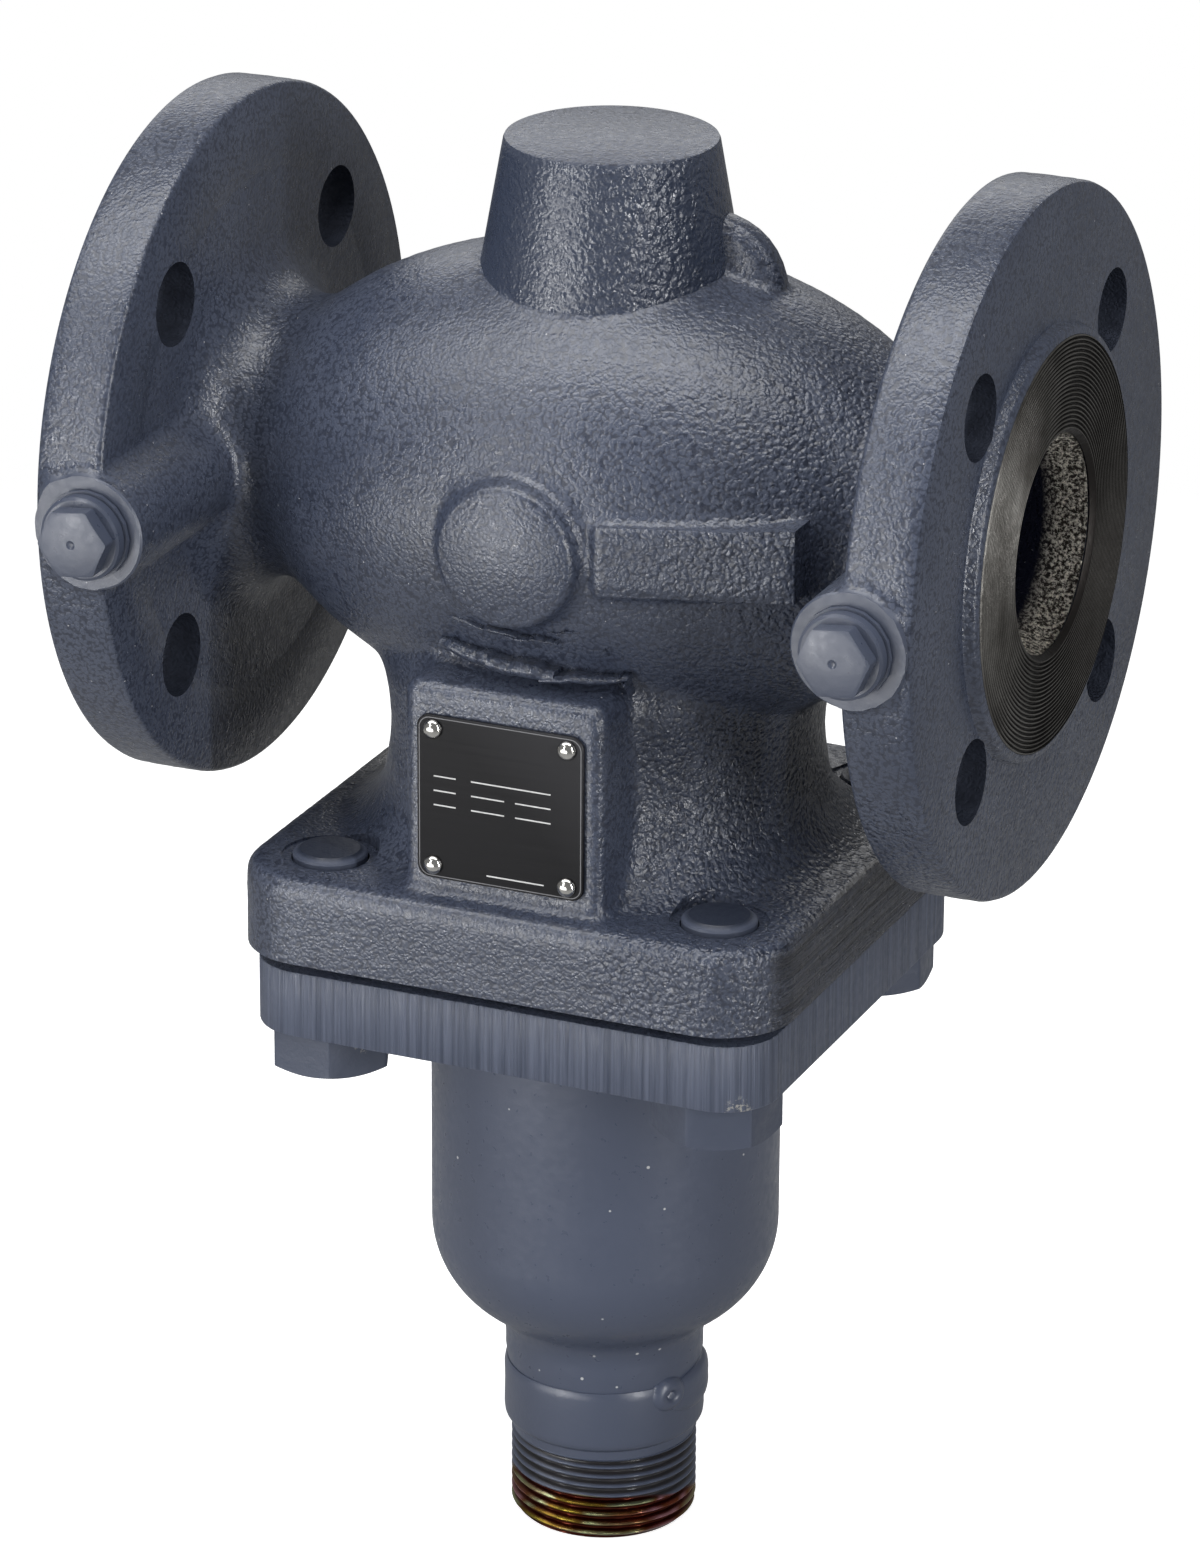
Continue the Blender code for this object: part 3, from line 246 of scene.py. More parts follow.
def block(name, low, high, edge=0.0, segments=3, lean=0.0):
    """A block between two corners with eased edges, whose front at low Y is drawn in."""
    bpy.ops.object.select_all(action="DESELECT")
    middle = [(a + b) / 2 for a, b in zip(low, high)]
    bpy.ops.mesh.primitive_cube_add(size=1.0, location=middle)
    piece = bpy.context.object
    piece.name = name
    piece.scale = [b - a for a, b in zip(low, high)]
    settle(piece)
    for corner in piece.data.vertices:
        if lean and corner.co.y < middle[1]:
            corner.co.x -= math.copysign(lean, corner.co.x - middle[0])
            corner.co.z -= math.copysign(lean, corner.co.z - middle[2])
    if edge:
        finish_with(piece, "BEVEL", width=edge, segments=segments)
    return piece


def finish_with(piece, kind, **values):
    """Add a modifier, set it and apply it."""
    pick(piece)
    step = piece.modifiers.new(kind.lower(), kind)
    for key, value in values.items():
        setattr(step, key, value)
    bpy.ops.object.modifier_apply(modifier=step.name)


def put_together(first, *others):
    """Join pieces into one object."""
    bpy.ops.object.select_all(action="DESELECT")
    for piece in (first, *others):
        piece.select_set(True)
    bpy.context.view_layer.objects.active = first
    bpy.ops.object.join()
    return first


def combine(piece, other, operation="UNION"):
    """Unite a piece with another, which is used up, or take or keep what they share."""
    finish_with(piece, "BOOLEAN", object=other, operation=operation, solver="MANIFOLD")
    bpy.data.objects.remove(other, do_unlink=True)


def cut_away(piece, *tools):
    """Take the tools' shapes out of a piece. The tools don't touch each other."""
    combine(piece, put_together(*tools), "DIFFERENCE")


def shade(piece, angle):
    pick(piece)
    bpy.ops.object.shade_smooth_by_angle(angle=math.radians(angle))


def ease(piece, repeats, place=None):
    """Rub down the vertices that lie where the test says, or all of them."""
    mesh = piece.data
    chosen = [place(corner.co) if place else True for corner in mesh.vertices]
    pick(piece)
    bpy.ops.object.mode_set(mode="EDIT")
    bpy.ops.mesh.select_mode(type="VERT")
    bpy.ops.mesh.select_all(action="DESELECT")
    bpy.ops.object.mode_set(mode="OBJECT")
    mesh.vertices.foreach_set("select", chosen)
    bpy.ops.object.mode_set(mode="EDIT")
    bpy.ops.mesh.vertices_smooth(factor=0.5, repeat=repeats)
    bpy.ops.object.mode_set(mode="OBJECT")


def barrel_outline():
    """(radius, x) of the barrel, the neck's fillet, the flange and the foot of its face."""
    half = [(BARREL_R * math.sqrt(1 - (x / BARREL_HALF) ** 2), x)
            for x in [NECK_X * i / 16 for i in range(17)]]
    start_r = half[-1][0]
    tilt = math.atan(BARREL_R ** 2 * NECK_X / (BARREL_HALF ** 2 * start_r))
    fillet = (FLANGE_BACK_X - NECK_X) / (1 + math.sin(tilt))
    centre = (start_r + fillet * math.cos(tilt), NECK_X + fillet * math.sin(tilt))
    half += bend(centre, fillet, 180 + math.degrees(tilt), 90, 8)[1:]
    half += [(FLANGE_R - 0.0016, FLANGE_BACK_X), (FLANGE_R, FLANGE_BACK_X + 0.0016),
             (FLANGE_R, FACE_X - 0.0052), (FLANGE_R - 0.0016, FACE_X - 0.0036),
             (0.0450, FACE_X - 0.0036), (0.0440, FACE_X - 0.0012)]
    return [(r, -x) for r, x in reversed(half[1:])] + half


def tunnel(name, stations):
    """A round way along X through (x, z, half width, half height) stations."""
    piece = turn_wall(name, [(1.0, x) for x, z, wide, high in stations], "X", 48)
    levels = {round(x, 5): (z, wide, high) for x, z, wide, high in stations}
    for corner in piece.data.vertices:
        z, wide, high = levels[round(corner.co.x, 5)]
        corner.co.y *= wide
        corner.co.z = corner.co.z * high + z
    return piece


def passage(name, side, level):
    """The cast way from a port to its chamber, above or below the web."""
    return tunnel(name, [(side * x, level * drop, wide, high) for x, drop, wide, high in (
        (0.103, 0, 0.0242, 0.0242), (0.0995, 0, 0.0237, 0.0237), (0.095, 0, 0.0226, 0.0226),
        (0.088, 0, 0.0202, 0.0202), (0.075, 0.01, 0.0200, 0.0200), (0.063, 0.08, 0.0203, 0.0198),
        (0.054, 0.35, 0.0220, 0.0180), (0.045, 0.70, 0.0245, 0.0158), (0.036, 0.93, 0.0260, 0.0145),
        (0.028, 1, 0.0262, 0.0140), (0.010, 1, 0.0262, 0.0140))])


barrel = turn_wall("cast_body", barrel_outline(), "X", 120)
boss = turn_wall("boss", [(0.0200, 0.0700), (0.0262, 0.0475), (0.0284, 0.0440), (0.0290, 0.0400),
                          (0.0290, 0.030)])
skirt = turn_wall("skirt", [(0.042, -0.018), (0.0492, -0.034), (0.0468, -0.046), (0.0462, -0.055)]
                  + bend((0.0622, -0.062), 0.0150, 180, 262, 8) + [(0.0600, -0.080)])
square = block("square_flange", (-SQUARE_HALF, -SQUARE_HALF, SQUARE_BOTTOM_Z - 0.002),
               (SQUARE_HALF, SQUARE_HALF, SQUARE_TOP_Z))


def ease_edges(piece, width, segments, test):
    """Bevel the edges whose middle and direction pass the test."""
    mesh = piece.data
    pick(piece)
    bpy.ops.object.mode_set(mode="EDIT")
    bpy.ops.mesh.select_mode(type="EDGE")
    bpy.ops.mesh.select_all(action="DESELECT")
    bpy.ops.object.mode_set(mode="OBJECT")
    for edge in mesh.edges:
        a, b = (mesh.vertices[i].co for i in edge.vertices)
        edge.select = test((a + b) / 2, (b - a).normalized())
    bpy.ops.object.mode_set(mode="EDIT")
    bpy.ops.mesh.bevel(offset=width, segments=segments, affect="EDGES")
    bpy.ops.object.mode_set(mode="OBJECT")


ease_edges(square, 0.0165, 10, lambda middle, way: abs(way.z) > 0.9)
ease_edges(square, 0.0028, 3, lambda middle, way: middle.z > SQUARE_TOP_Z - 0.0001)
name_pad = block("name_pad", (-0.0240, PAD_Y, -0.085), (0.0240, -0.030, -0.0283), 0.0026, 3, 0.0014)
round_pad = turn_wall("round_pad", [(0.0165, -0.030), (0.0158, PAD_Y + 0.002),
                                    (0.0140, PAD_Y + 0.0003), (HAIR, PAD_Y)], "Y")


def tablet_form(name, low, high, back, edge):
    """The tablet's block, which swings back and up towards the outlet."""
    form = block(name, low, high, edge, 2)
    for corner in form.data.vertices:
        along = (corner.co.x - low[0]) / (high[0] - low[0])
        corner.co.y += back * along
        corner.co.z += 0.0013 * along
    return form


tablet = tablet_form("tablet", (0.0190, -0.0525, -0.0062), (0.0600, -0.036, 0.0088), 0.0086, 0.0)


def lug_form(name, half, growth):
    """The flat lug beside the boss, a full shoulder in outline."""
    lug = turn_wall(name, [(0.90, -half), (0.975, -half * 0.78), (1.0, -half * 0.45),
                           (1.0, half * 0.45), (0.975, half * 0.78), (0.90, half)], "Y", 48)
    for corner in lug.data.vertices:
        out, turn = math.hypot(corner.co.x, corner.co.z), math.atan2(corner.co.z, corner.co.x)
        full = (abs(math.cos(turn)) ** 2.5 + abs(math.sin(turn)) ** 2.5) ** -0.4
        corner.co.x = 0.0180 + (0.0206 + growth) * out * full * math.cos(turn)
        corner.co.z = 0.0400 + (0.0210 + growth) * out * full * math.sin(turn)
        corner.co.y += 0.0028
    return lug


lug = lug_form("lug", 0.0042, -0.0004)
taps = [shift(turn_wall("tap_ridge", [(HAIR, -0.0285), (0.0080, -0.0290), (0.0114, -0.0330),
                                      (0.0124, -0.0390), (0.0125, TAP_Y - 0.001)], "Y", 64),
              side * TAP_X, 0, 0) for side in (-1, 1)]
stubs = [block("gate_stub", low, high, 0.001, 2) for low, high in (
    ((-0.0965, -0.0748, 0.0005), (-0.0835, -0.060, 0.0120)),
    ((0.0835, -0.0505, -0.0560), (0.0965, -0.040, -0.0480)))]
cast = put_together(barrel, boss, skirt, square, name_pad, round_pad, tablet, lug, *taps, *stubs)
finish_with(cast, "REMESH", mode="VOXEL", voxel_size=0.0013, use_smooth_shade=True)


def near_boss(at):
    return 0.040 < at.z < 0.053 and math.hypot(at.x, at.y) < 0.036


def near_tap(at):
    return at.y < -0.026 and 0.060 < abs(at.x) < 0.0815 and abs(at.z) < 0.018


def near_skirt(at):
    round_r = math.hypot(at.x, at.y)
    return -0.073 < at.z < -0.020 and at.y > PAD_Y + 0.003 and abs(at.x) < 0.062 and round_r > 0.04


def near_neck(at):
    return 0.055 < abs(at.x) < 0.0815 and math.hypot(at.y, at.z) < 0.050


ease(cast, 1)
ease(cast, 3, near_boss)
ease(cast, 10, near_tap)
ease(cast, 10, near_skirt)
ease(cast, 8, near_neck)
sand = bpy.data.textures.new("sand_skin", "CLOUDS")
sand.noise_scale = 0.0024
finish_with(cast, "DISPLACE", texture=sand, strength=0.00024, mid_level=0.62,
            texture_coords="LOCAL")
# The mould's sharper forms go on after the rubbing down, so that their edges stay crisp.
crisp = [
    turn_wall("boss_wall", [
        (0.0218, BOSS_TOP_Z + 0.0001), (0.0223, BOSS_TOP_Z - 0.0001), (0.0226, BOSS_TOP_Z - 0.0007),
        *[(0.0226 + 0.0048 * i / 14, 0.0745 - 0.0272 * i / 14) for i in range(1, 15)],
        (0.0278, 0.0452), (0.0283, 0.0430), (0.0286, 0.0400)], steps=160),
    block("name_pad_face", (-0.0225, PAD_Y, -0.0775), (0.0225, -0.044, -0.0295), 0.0016, 3, 0.0010),
    turn_wall("round_pad_face", [(0.0168, -0.045), (0.0155, PAD_Y + 0.0018),
                                 (0.0150, PAD_Y + 0.0006), (0.0140, PAD_Y)], "Y"),
    tablet_form("tablet_face", (0.0193, -0.0522, -0.0063), (0.0597, -0.040, 0.0089), 0.0088,
                0.0005),
    lug_form("lug_shoulder", 0.0036, 0.0)]
wedge = block("tablet_flash", (0.0460, -0.0442, 0.0080), (0.0598, -0.036, 0.0112))
for corner in wedge.data.vertices:
    if corner.co.z > 0.0098:
        corner.co.z -= 0.0016 * (0.0598 - corner.co.x) / 0.0138
    corner.co.y -= 0.0018 * (0.0598 - corner.co.x) / 0.0138
crisp.append(wedge)
# Torn flash of the mould's parting: thin leaves, one over the other, above the name pad.
# Each is (x from, x to, z from, z to, thickness, reach from the stem's axis).
LEAVES = ((-0.0156, 0.0014, -0.0170, -0.0184, 0.0013, 0.0506),
          (-0.0010, 0.0098, -0.0186, -0.0184, 0.0012, 0.0511),
          (0.0088, 0.0188, -0.0164, -0.0158, 0.0009, 0.0507),
          (-0.0180, -0.0030, -0.0238, -0.0256, 0.0030, 0.0503),
          (-0.0060, 0.0090, -0.0254, -0.0262, 0.0032, 0.0507),
          (0.0060, 0.0238, -0.0270, -0.0262, 0.0018, 0.0509),
          (0.0182, 0.0198, -0.0160, -0.0206, 0.0012, 0.0505),
          (0.0222, 0.0240, -0.0256, -0.0292, 0.0013, 0.0512))
for number, (x0, x1, z0, z1, thick, reach) in enumerate(LEAVES):
    leaf = block("flash_leaf", (0, 0, 0), (1, 1, 1))
    bpy.ops.object.mode_set(mode="EDIT")
    bpy.ops.mesh.select_all(action="SELECT")
    bpy.ops.mesh.subdivide(number_cuts=15)
    bpy.ops.object.mode_set(mode="OBJECT")
    for corner in leaf.data.vertices:
        along, out, up = corner.co
        ragged = (0.00030 * math.sin(9.7 * along + number * 2.1)
                  + 0.00016 * math.sin(23.0 * along + number)
                  + 0.00010 * math.sin(61.0 * along + 3 * number))
        lip = 0.5 + 0.5 * math.sin(math.pi * min(1.0, max(0.0, along * 0.94 + 0.03))) ** 0.35
        corner.co.x = x0 + (x1 - x0) * along
        front = math.sqrt(reach ** 2 - corner.co.x ** 2) + ragged - 0.0048 * (up - 0.5) ** 2 * lip
        corner.co.y = -front * (1 - out) - 0.040 * out
        corner.co.z = z0 + (z1 - z0) * along + ragged + thick * lip * (up - 0.5)
    crisp.append(leaf)
for side in (-1, 1):
    back, front = FLANGE_BACK_X, FACE_X
    crisp.append(turn_wall("flange_face", [(r, side * x) for r, x in (
        (0.0500, back + 0.0035), (0.0570, back - 0.0001), (0.0741, back - 0.0001),
        (0.0747, back + 0.0004), (0.0749, back + 0.0010), (0.0749, front - 0.0044),
        (0.0745, front - 0.0034), (0.0736, front - 0.0030), (0.0463, front - 0.0030),
        (0.0460, front - 0.0027), (0.0455, front - 0.0011), (0.0451, front - 0.0006),
        (0.0440, front - 0.0003))], "X", 144))
    spot = turn_wall("tap_face", [(0.0118, -0.0700), (0.0123, -0.0710), (0.0123, TAP_Y + 0.0004),
                                  (0.0119, TAP_Y)], "Y", 64)
    crisp.append(shift(spot, side * TAP_X, 0, 0))
for form in crisp:
    combine(cast, form)
cut_away(cast, passage("inlet_way", -1, -0.014), passage("outlet_way", 1, 0.024))
cut_away(cast, turn_wall("upper_chamber", [(0.034, 0.010)] + bend((0, 0.010), 0.034, 0, 88, 12)[1:]
                         + [(HAIR, 0.044)]),
         turn_wall("lower_chamber", [(0.034, 0), (0.034, -0.050), (0.038, -0.054),
                                     (0.038, -0.098)]))


def bar(name, radius, low, high, at, axis, steps=48):
    """A round bar along an axis, at a place across it."""
    return shift(turn_wall(name, [(radius, low), (radius, high)], axis, steps), *at)


holes = [bar("seat_hole", 0.0250, -0.002, 0.012, (0, 0, 0), "Z", 64),
         bar("guide_hole", 0.0090, 0.0415, 0.067, (0, 0, 0), "Z")]
for y in (-FLANGE_HOLE_AT, FLANGE_HOLE_AT):
    for z in (-FLANGE_HOLE_AT, FLANGE_HOLE_AT):
        holes += [bar("flange_hole", 0.009, low, high, (0, y, z), "X")
                  for low, high in ((-0.104, -0.074), (0.074, 0.104))]
for x in (-BOLT_AT, BOLT_AT):
    for y in (-BOLT_AT, BOLT_AT):
        holes.append(shift(turn_wall("bolt_hole", [(0.0083, -0.098), (0.0083, -0.0767),
                                                   (0.0104, -0.0766), (0.0110, -0.0640)],
                                     steps=48), x, y, 0))
for side in (-1, 1):
    holes.append(shift(turn_wall("tap_hole", [(0.0066, -0.079), (0.0066, -0.063), (0.003, -0.059),
                                              (0.003, -0.0215)], "Y", 48), side * TAP_X, 0, 0))
for x in (-RIVET_AT, RIVET_AT):
    for z in (-RIVET_AT, RIVET_AT):
        holes.append(bar("rivet_hole", 0.0013, -0.058, -0.0487, (x, 0, NAMEPLATE_Z + z), "Y", 16))
cut_away(cast, *holes)
cut_away(cast, *[turn_wall("face_pocket", [(0.0437, side * 0.0984), (0.0437, side * 0.106)],
                           "X", 128) for side in (-1, 1)],
         *[block("tap_facing", (side * TAP_X - 0.015, TAP_Y - 0.006, -0.015),
                 (side * TAP_X + 0.015, TAP_Y, 0.015)) for side in (-1, 1)],
         block("joint_facing", (-0.08, -0.08, SQUARE_BOTTOM_Z - 0.01),
               (0.08, 0.08, SQUARE_BOTTOM_Z)))
for corner in cast.data.vertices:
    if corner.co.y > 0:
        corner.co.y *= FAR_SIDE
shade(cast, 40)


class Finish:
    """A node material on Object coordinates, with its main shader and the bumps of its skin."""

    def __init__(self, name):
        self.material = bpy.data.materials.new(name)
        self.material.use_nodes = True
        self.shader = self.material.node_tree.nodes["Principled BSDF"]
        self.place = self.node("TexCoord").outputs["Object"]
        split = self.node("SeparateXYZ")
        self.wire(self.place, split.inputs[0])
        self.x, self.y, self.z = split.outputs
        self.skin = None

    def node(self, kind, **values):
        return node(self.material, kind, **values)

    def wire(self, source, target):
        wire(self.material, source, target)

    def sum_of(self, kind, first, second=0.0):
        return sum_of(self.material, kind, first, second)

    def window(self, *values):
        return window(self.material, *values)

    def times(self, first, *others):
        """The product of two values or more."""
        for other in others:
            first = self.sum_of("MULTIPLY", first, other)
        return first

    def away(self, first, second):
        """The length of two coordinates together."""
        squares = self.times(first, first), self.times(second, second)
        return self.sum_of("SQRT", self.sum_of("ADD", *squares))

    def give(self, **values):
        """Set or wire the shader's inputs, with an underscore for each space in a name."""
        for key, value in values.items():
            socket = self.shader.inputs[key.replace("_", " ")]
            if isinstance(value, (int, float)):
                socket.default_value = value
            else:
                self.wire(value, socket)

    def grain(self, scale, detail=3.0, rough=0.6, stretch=(1, 1, 1)):
        """Noise at a scale in lumps per metre, drawn out by a stretch along each axis."""
        drawn = self.node("Mapping", in_Scale=stretch)
        self.wire(self.place, drawn.inputs["Vector"])
        made = self.node("TexNoise", in_Scale=scale, in_Detail=detail, in_Roughness=rough)
        self.wire(drawn.outputs["Vector"], made.inputs["Vector"])
        return made.outputs["Fac"]

    def specks(self, scale, size):
        """Sparse round specks."""
        made = self.node("TexVoronoi", in_Scale=scale)
        self.wire(self.place, made.inputs["Vector"])
        return self.window(made.outputs["Distance"], size * 1.3, size)

    def sand_grains(self, scale):
        """Rounded grains with sharp clefts between them, at a scale in grains per metre."""
        drift = self.node("TexNoise", in_Scale=scale * 0.6, in_Detail=1.0)
        self.wire(self.place, drift.inputs["Vector"])
        moved = self.node("VectorMath", operation="MULTIPLY_ADD", in_1=(1.6 / scale,) * 3)
        self.wire(drift.outputs["Color"], moved.inputs[0])
        self.wire(self.place, moved.inputs[2])
        cells = self.node("TexVoronoi", in_Scale=scale)
        self.wire(moved.outputs["Vector"], cells.inputs["Vector"])
        return self.window(cells.outputs["Distance"], 0.75, 0.15)

    def tint(self, amount, first, second):
        """A colour between two, which may be colours or sockets."""
        made = self.node("Mix", data_type="RGBA")
        self.wire(amount, made.inputs["Factor"])
        for socket, colour in zip([s for s in made.inputs if s.type == "RGBA"], (first, second)):
            if isinstance(colour, tuple):
                socket.default_value = (*colour, 1)
            else:
                self.wire(colour, socket)
        return [s for s in made.outputs if s.type == "RGBA"][0]

    def mottle(self, scale, first, second):
        """Colour the whole by a grain between two colours."""
        self.give(Base_Color=self.tint(self.grain(scale), first, second))

    def relief(self, height, strength, depth):
        """A bump over the ones before it."""
        made = self.node("Bump", in_Strength=strength, in_Distance=depth)
        self.wire(height, made.inputs["Height"])
        if self.skin:
            self.wire(self.skin, made.inputs["Normal"])
        self.skin = made.outputs["Normal"]
        self.give(Normal=self.skin)


def slate_paint(name, fine=0.27, coarse=0.12, roughness=0.31):
    """Satin slate paint with dust. Over a coarse skin it keeps the mould's grains of sand, with
    painted shade in the clefts between them.
    """
    finish = Finish(name)
    lumps = finish.grain(520.0, 2.0, 0.5)
    colour = finish.tint(finish.window(finish.grain(28.0), 0.35, 0.65), PAINT_DARK, PAINT_PALE)
    if coarse > 0.1:
        crumbs = finish.sand_grains(1150.0)
        # The clefts between the grains are painted darker: painted shade.
        colour = finish.tint(finish.window(crumbs, 0.12, 0.42), PAINT_CLEFT_SHADE, colour)
    else:
        crumbs = finish.grain(1500.0, 2.0, 0.6)
    dusty = finish.tint(finish.specks(190.0, 0.028), colour, (0.42, 0.42, 0.44))
    sheen = finish.window(lumps, 0.3, 0.7, roughness + 0.10, roughness - 0.06)
    finish.give(Base_Color=dusty, Roughness=sheen, Specular_IOR_Level=0.65)
    finish.relief(lumps, coarse, 0.0010)
    finish.relief(crumbs, fine, 0.00030)
    return finish


def wear(piece, *finishes):
    """Give a piece its materials, in the order of their indices."""
    piece.data.materials.clear()
    for finish in finishes:
        piece.data.materials.append(finish.material)


cast_paint = slate_paint("cast_paint")
limit, along, up = cast_paint.window, cast_paint.x, cast_paint.z
rightward = cast_paint.times(limit(along, 0.014, 0.060), limit(along, 0.0815, 0.0790))
skirt_side = cast_paint.times(limit(up, -0.028, -0.040), limit(along, 0.018, 0.030))
coarser = cast_paint.sum_of("MAXIMUM", rightward, skirt_side)
cast_paint.relief(cast_paint.times(cast_paint.sand_grains(760.0), coarser), 0.6, 0.00040)
square_side = cast_paint.times(limit(along, 0.0596, 0.0612), limit(along, 0.0700, 0.0660),
                               limit(up, -0.0765, -0.0785))
streaks = cast_paint.grain(60.0, 5.0, 0.7, (0.2, 0.35, 8.0))
cast_paint.relief(cast_paint.times(streaks, square_side), 1.0, 0.0065)
# The low grooves of the streaks on the square flange's side are painted dark: painted shade.
unshaded = cast_paint.shader.inputs["Base Color"].links[0].from_socket
streak_shade = cast_paint.times(limit(streaks, 0.52, 0.40), square_side)
cast_paint.give(Base_Color=cast_paint.tint(streak_shade, unshaded, (0.014, 0.018, 0.030)))

# The boss wall wears a darker copy of the casting's paint, with more gloss: painted shade.
shaded_boss_paint = slate_paint("shaded_boss_paint", 0.34, 0.13, 0.26)
shaded_boss_paint.relief(shaded_boss_paint.times(shaded_boss_paint.sand_grains(620.0),
                                   shaded_boss_paint.window(shaded_boss_paint.x, -0.006, 0.014, 0.3, 1.0)),
                  0.6, 0.00040)
shaded_boss_paint.mottle(30.0, (0.026, 0.034, 0.058), (0.040, 0.051, 0.082))
shaded_boss_paint.give(Specular_IOR_Level=0.85)

# Inside the bores and chambers the bare iron is painted near black, as painted shade; only the
# mouths keep the bright sparkling iron.
bare_iron = Finish("bare_cast_iron")
crumbs = bare_iron.grain(1300.0, 3.0, 0.7)
deep = bare_iron.window(bare_iron.sum_of("ABSOLUTE", bare_iron.x), 0.0893, 0.0930)
lit_iron = bare_iron.tint(bare_iron.window(crumbs, 0.45, 0.62), (0.035, 0.030, 0.027),
                          (0.80, 0.76, 0.68))
bore_shade_iron = bare_iron.tint(bare_iron.window(crumbs, 0.70, 0.76), (0.0030, 0.0040, 0.0110),
                           (0.30, 0.30, 0.32))
bare_iron.give(Base_Color=bare_iron.tint(deep, bore_shade_iron, lit_iron), Roughness=0.38,
               Metallic=bare_iron.window(deep, 0, 1, 0.2, 0.9), Specular_IOR_Level=0.1)
bare_iron.relief(crumbs, 1.0, 0.0022)

smooth_paint = slate_paint("smooth_paint", 0.06, 0.06, 0.34)
# The walls of the flange holes wear a dark, dull copy of the paint: painted shade.
shaded_hole_paint = slate_paint("shaded_hole_paint", 0.5, 0.15, 0.6)
shaded_hole_paint.mottle(300.0, (0.010, 0.012, 0.019), (0.040, 0.047, 0.068))
shaded_hole_paint.give(Specular_IOR_Level=0.1)
wear(cast, cast_paint, bare_iron, smooth_paint, shaded_hole_paint, shaded_boss_paint)
for face in cast.data.polygons:
    at = face.center
    off_pipe, off_stem = math.hypot(at.y, at.z), math.hypot(at.x, at.y)
    barrel_r = BARREL_R * math.sqrt(max(0.0, 1 - (at.x / BARREL_HALF) ** 2))
    bore = 0.060 < abs(at.x) < 0.0999 and off_pipe < 0.0243
    inside = abs(at.x) <= 0.060 and off_pipe < barrel_r - 0.005
    below = -0.0948 < at.z < -0.020 and off_stem < 0.0386
    tap_face = at.y < TAP_Y + 0.0009 and abs(abs(at.x) - TAP_X) < 0.0130 and abs(at.z) < 0.0130
    hole = (0.0822 < abs(at.x) < 0.0966 and abs(face.normal.x) < 0.3
            and math.hypot(abs(at.y) - FLANGE_HOLE_AT + 0.0002,
                           abs(at.z) - FLANGE_HOLE_AT) < 0.0093)
    # The boss wall's faces take the darker copy of the paint, which is painted shade.
    boss_side = (0.0440 < at.z < 0.0748 and abs(face.normal.z) < 0.45
                 and off_stem < 0.0226 + 0.0048 * (0.0745 - at.z) / 0.0272 + 0.0003)
    face.material_index = (1 if bore or inside or below else 2 if tap_face else 3 if hole
                           else 4 if boss_side else 0)
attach(cast, "casing")
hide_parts("valve_body")


# Port faces.
# The iron is turned bare on the raised faces, with a fine spiral of grooves that grips the
# gasket. The mouth of each bore stays as cast.
FIRST_GROOVE_R = 0.0242
GROOVE_PITCH = 0.00091
turned_iron = Finish("turned_iron")
face_r = turned_iron.away(turned_iron.y, turned_iron.z)
turns = turned_iron.sum_of("DIVIDE", turned_iron.sum_of("SUBTRACT", face_r, FIRST_GROOVE_R),
                           GROOVE_PITCH)
groove = turned_iron.window(turned_iron.sum_of("FRACT", turns), 0.26, 0.44)
wear_and_reflection = turned_iron.window(turned_iron.grain(70.0, 4.0), 0.35, 0.68)
land = turned_iron.tint(wear_and_reflection, (0.070, 0.066, 0.060), (0.20, 0.194, 0.182))
turned = turned_iron.tint(groove, land, (0.014, 0.013, 0.012))
lip = turned_iron.window(face_r, 0.0241, 0.0243)
turned_iron.give(Base_Color=turned_iron.tint(lip, (0.020, 0.018, 0.017), turned), Metallic=0.9,
                 Roughness=turned_iron.window(turned_iron.grain(700.0), 0.3, 0.7, 0.38, 0.54))
turned_iron.relief(turned_iron.grain(1100.0), 0.35, 0.0003)
for side, end in ((-1, "inlet"), (1, "outlet")):
    wall = [(0.0231, 0.0988), (0.0240, 0.0999)]
    for number in range(21):
        start = FIRST_GROOVE_R + number * GROOVE_PITCH
        wall += [(start, 0.1000), (start + 0.00022, 0.1000), (start + 0.00048, 0.09955),
                 (start + 0.00066, 0.09955)]
    wall += [(0.0433, 0.1000), (0.0436, 0.0997), (0.0436, 0.0988), (0.0231, 0.0988)]
    ring = turn_wall(end + "_face", [(r, side * x) for r, x in wall], "X", 160)
    shade(ring, 25)
    wear(ring, turned_iron)
    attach(ring, "casing")


# Seat, cone, stem and guide.
# Turned stainless steel inside the casting: the seat is screwed into the web, the cone is
# held on the stem by its nut, and a bronze bush guides the stem's top end.
def turned_metal(name, dark, pale, roughness):
    """Turned metal with fine rings round the stem's axis."""
    finish = Finish(name)
    rings = finish.grain(260.0, 3.0, 0.6, (0.05, 0.05, 6.0))
    sheen = finish.window(finish.grain(90.0), 0.3, 0.7, roughness - 0.06, roughness + 0.08)
    finish.give(Base_Color=finish.tint(finish.window(rings, 0.3, 0.7), dark, pale),
                Metallic=1.0, Roughness=sheen)
    finish.relief(rings, 0.25, 0.0002)
    return finish


def coat(finish, *names):
    """Give carried nodes their material."""
    for name in names:
        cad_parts[name].material_slots[0].material = finish.material


coat(turned_metal("turned_steel", (0.42, 0.43, 0.44), (0.62, 0.63, 0.64), 0.28),
     "seat_ring", "valve_cone", "cone_nut", "valve_stem", "bellows", "bellows_top_ring",
     "bellows_base_ring", "bellows_nut", "seal_spacer")
coat(turned_metal("turned_bronze", (0.36, 0.22, 0.08), (0.50, 0.32, 0.12), 0.34),
     "upper_guide_bush", "neck_bush", "gland_screw")


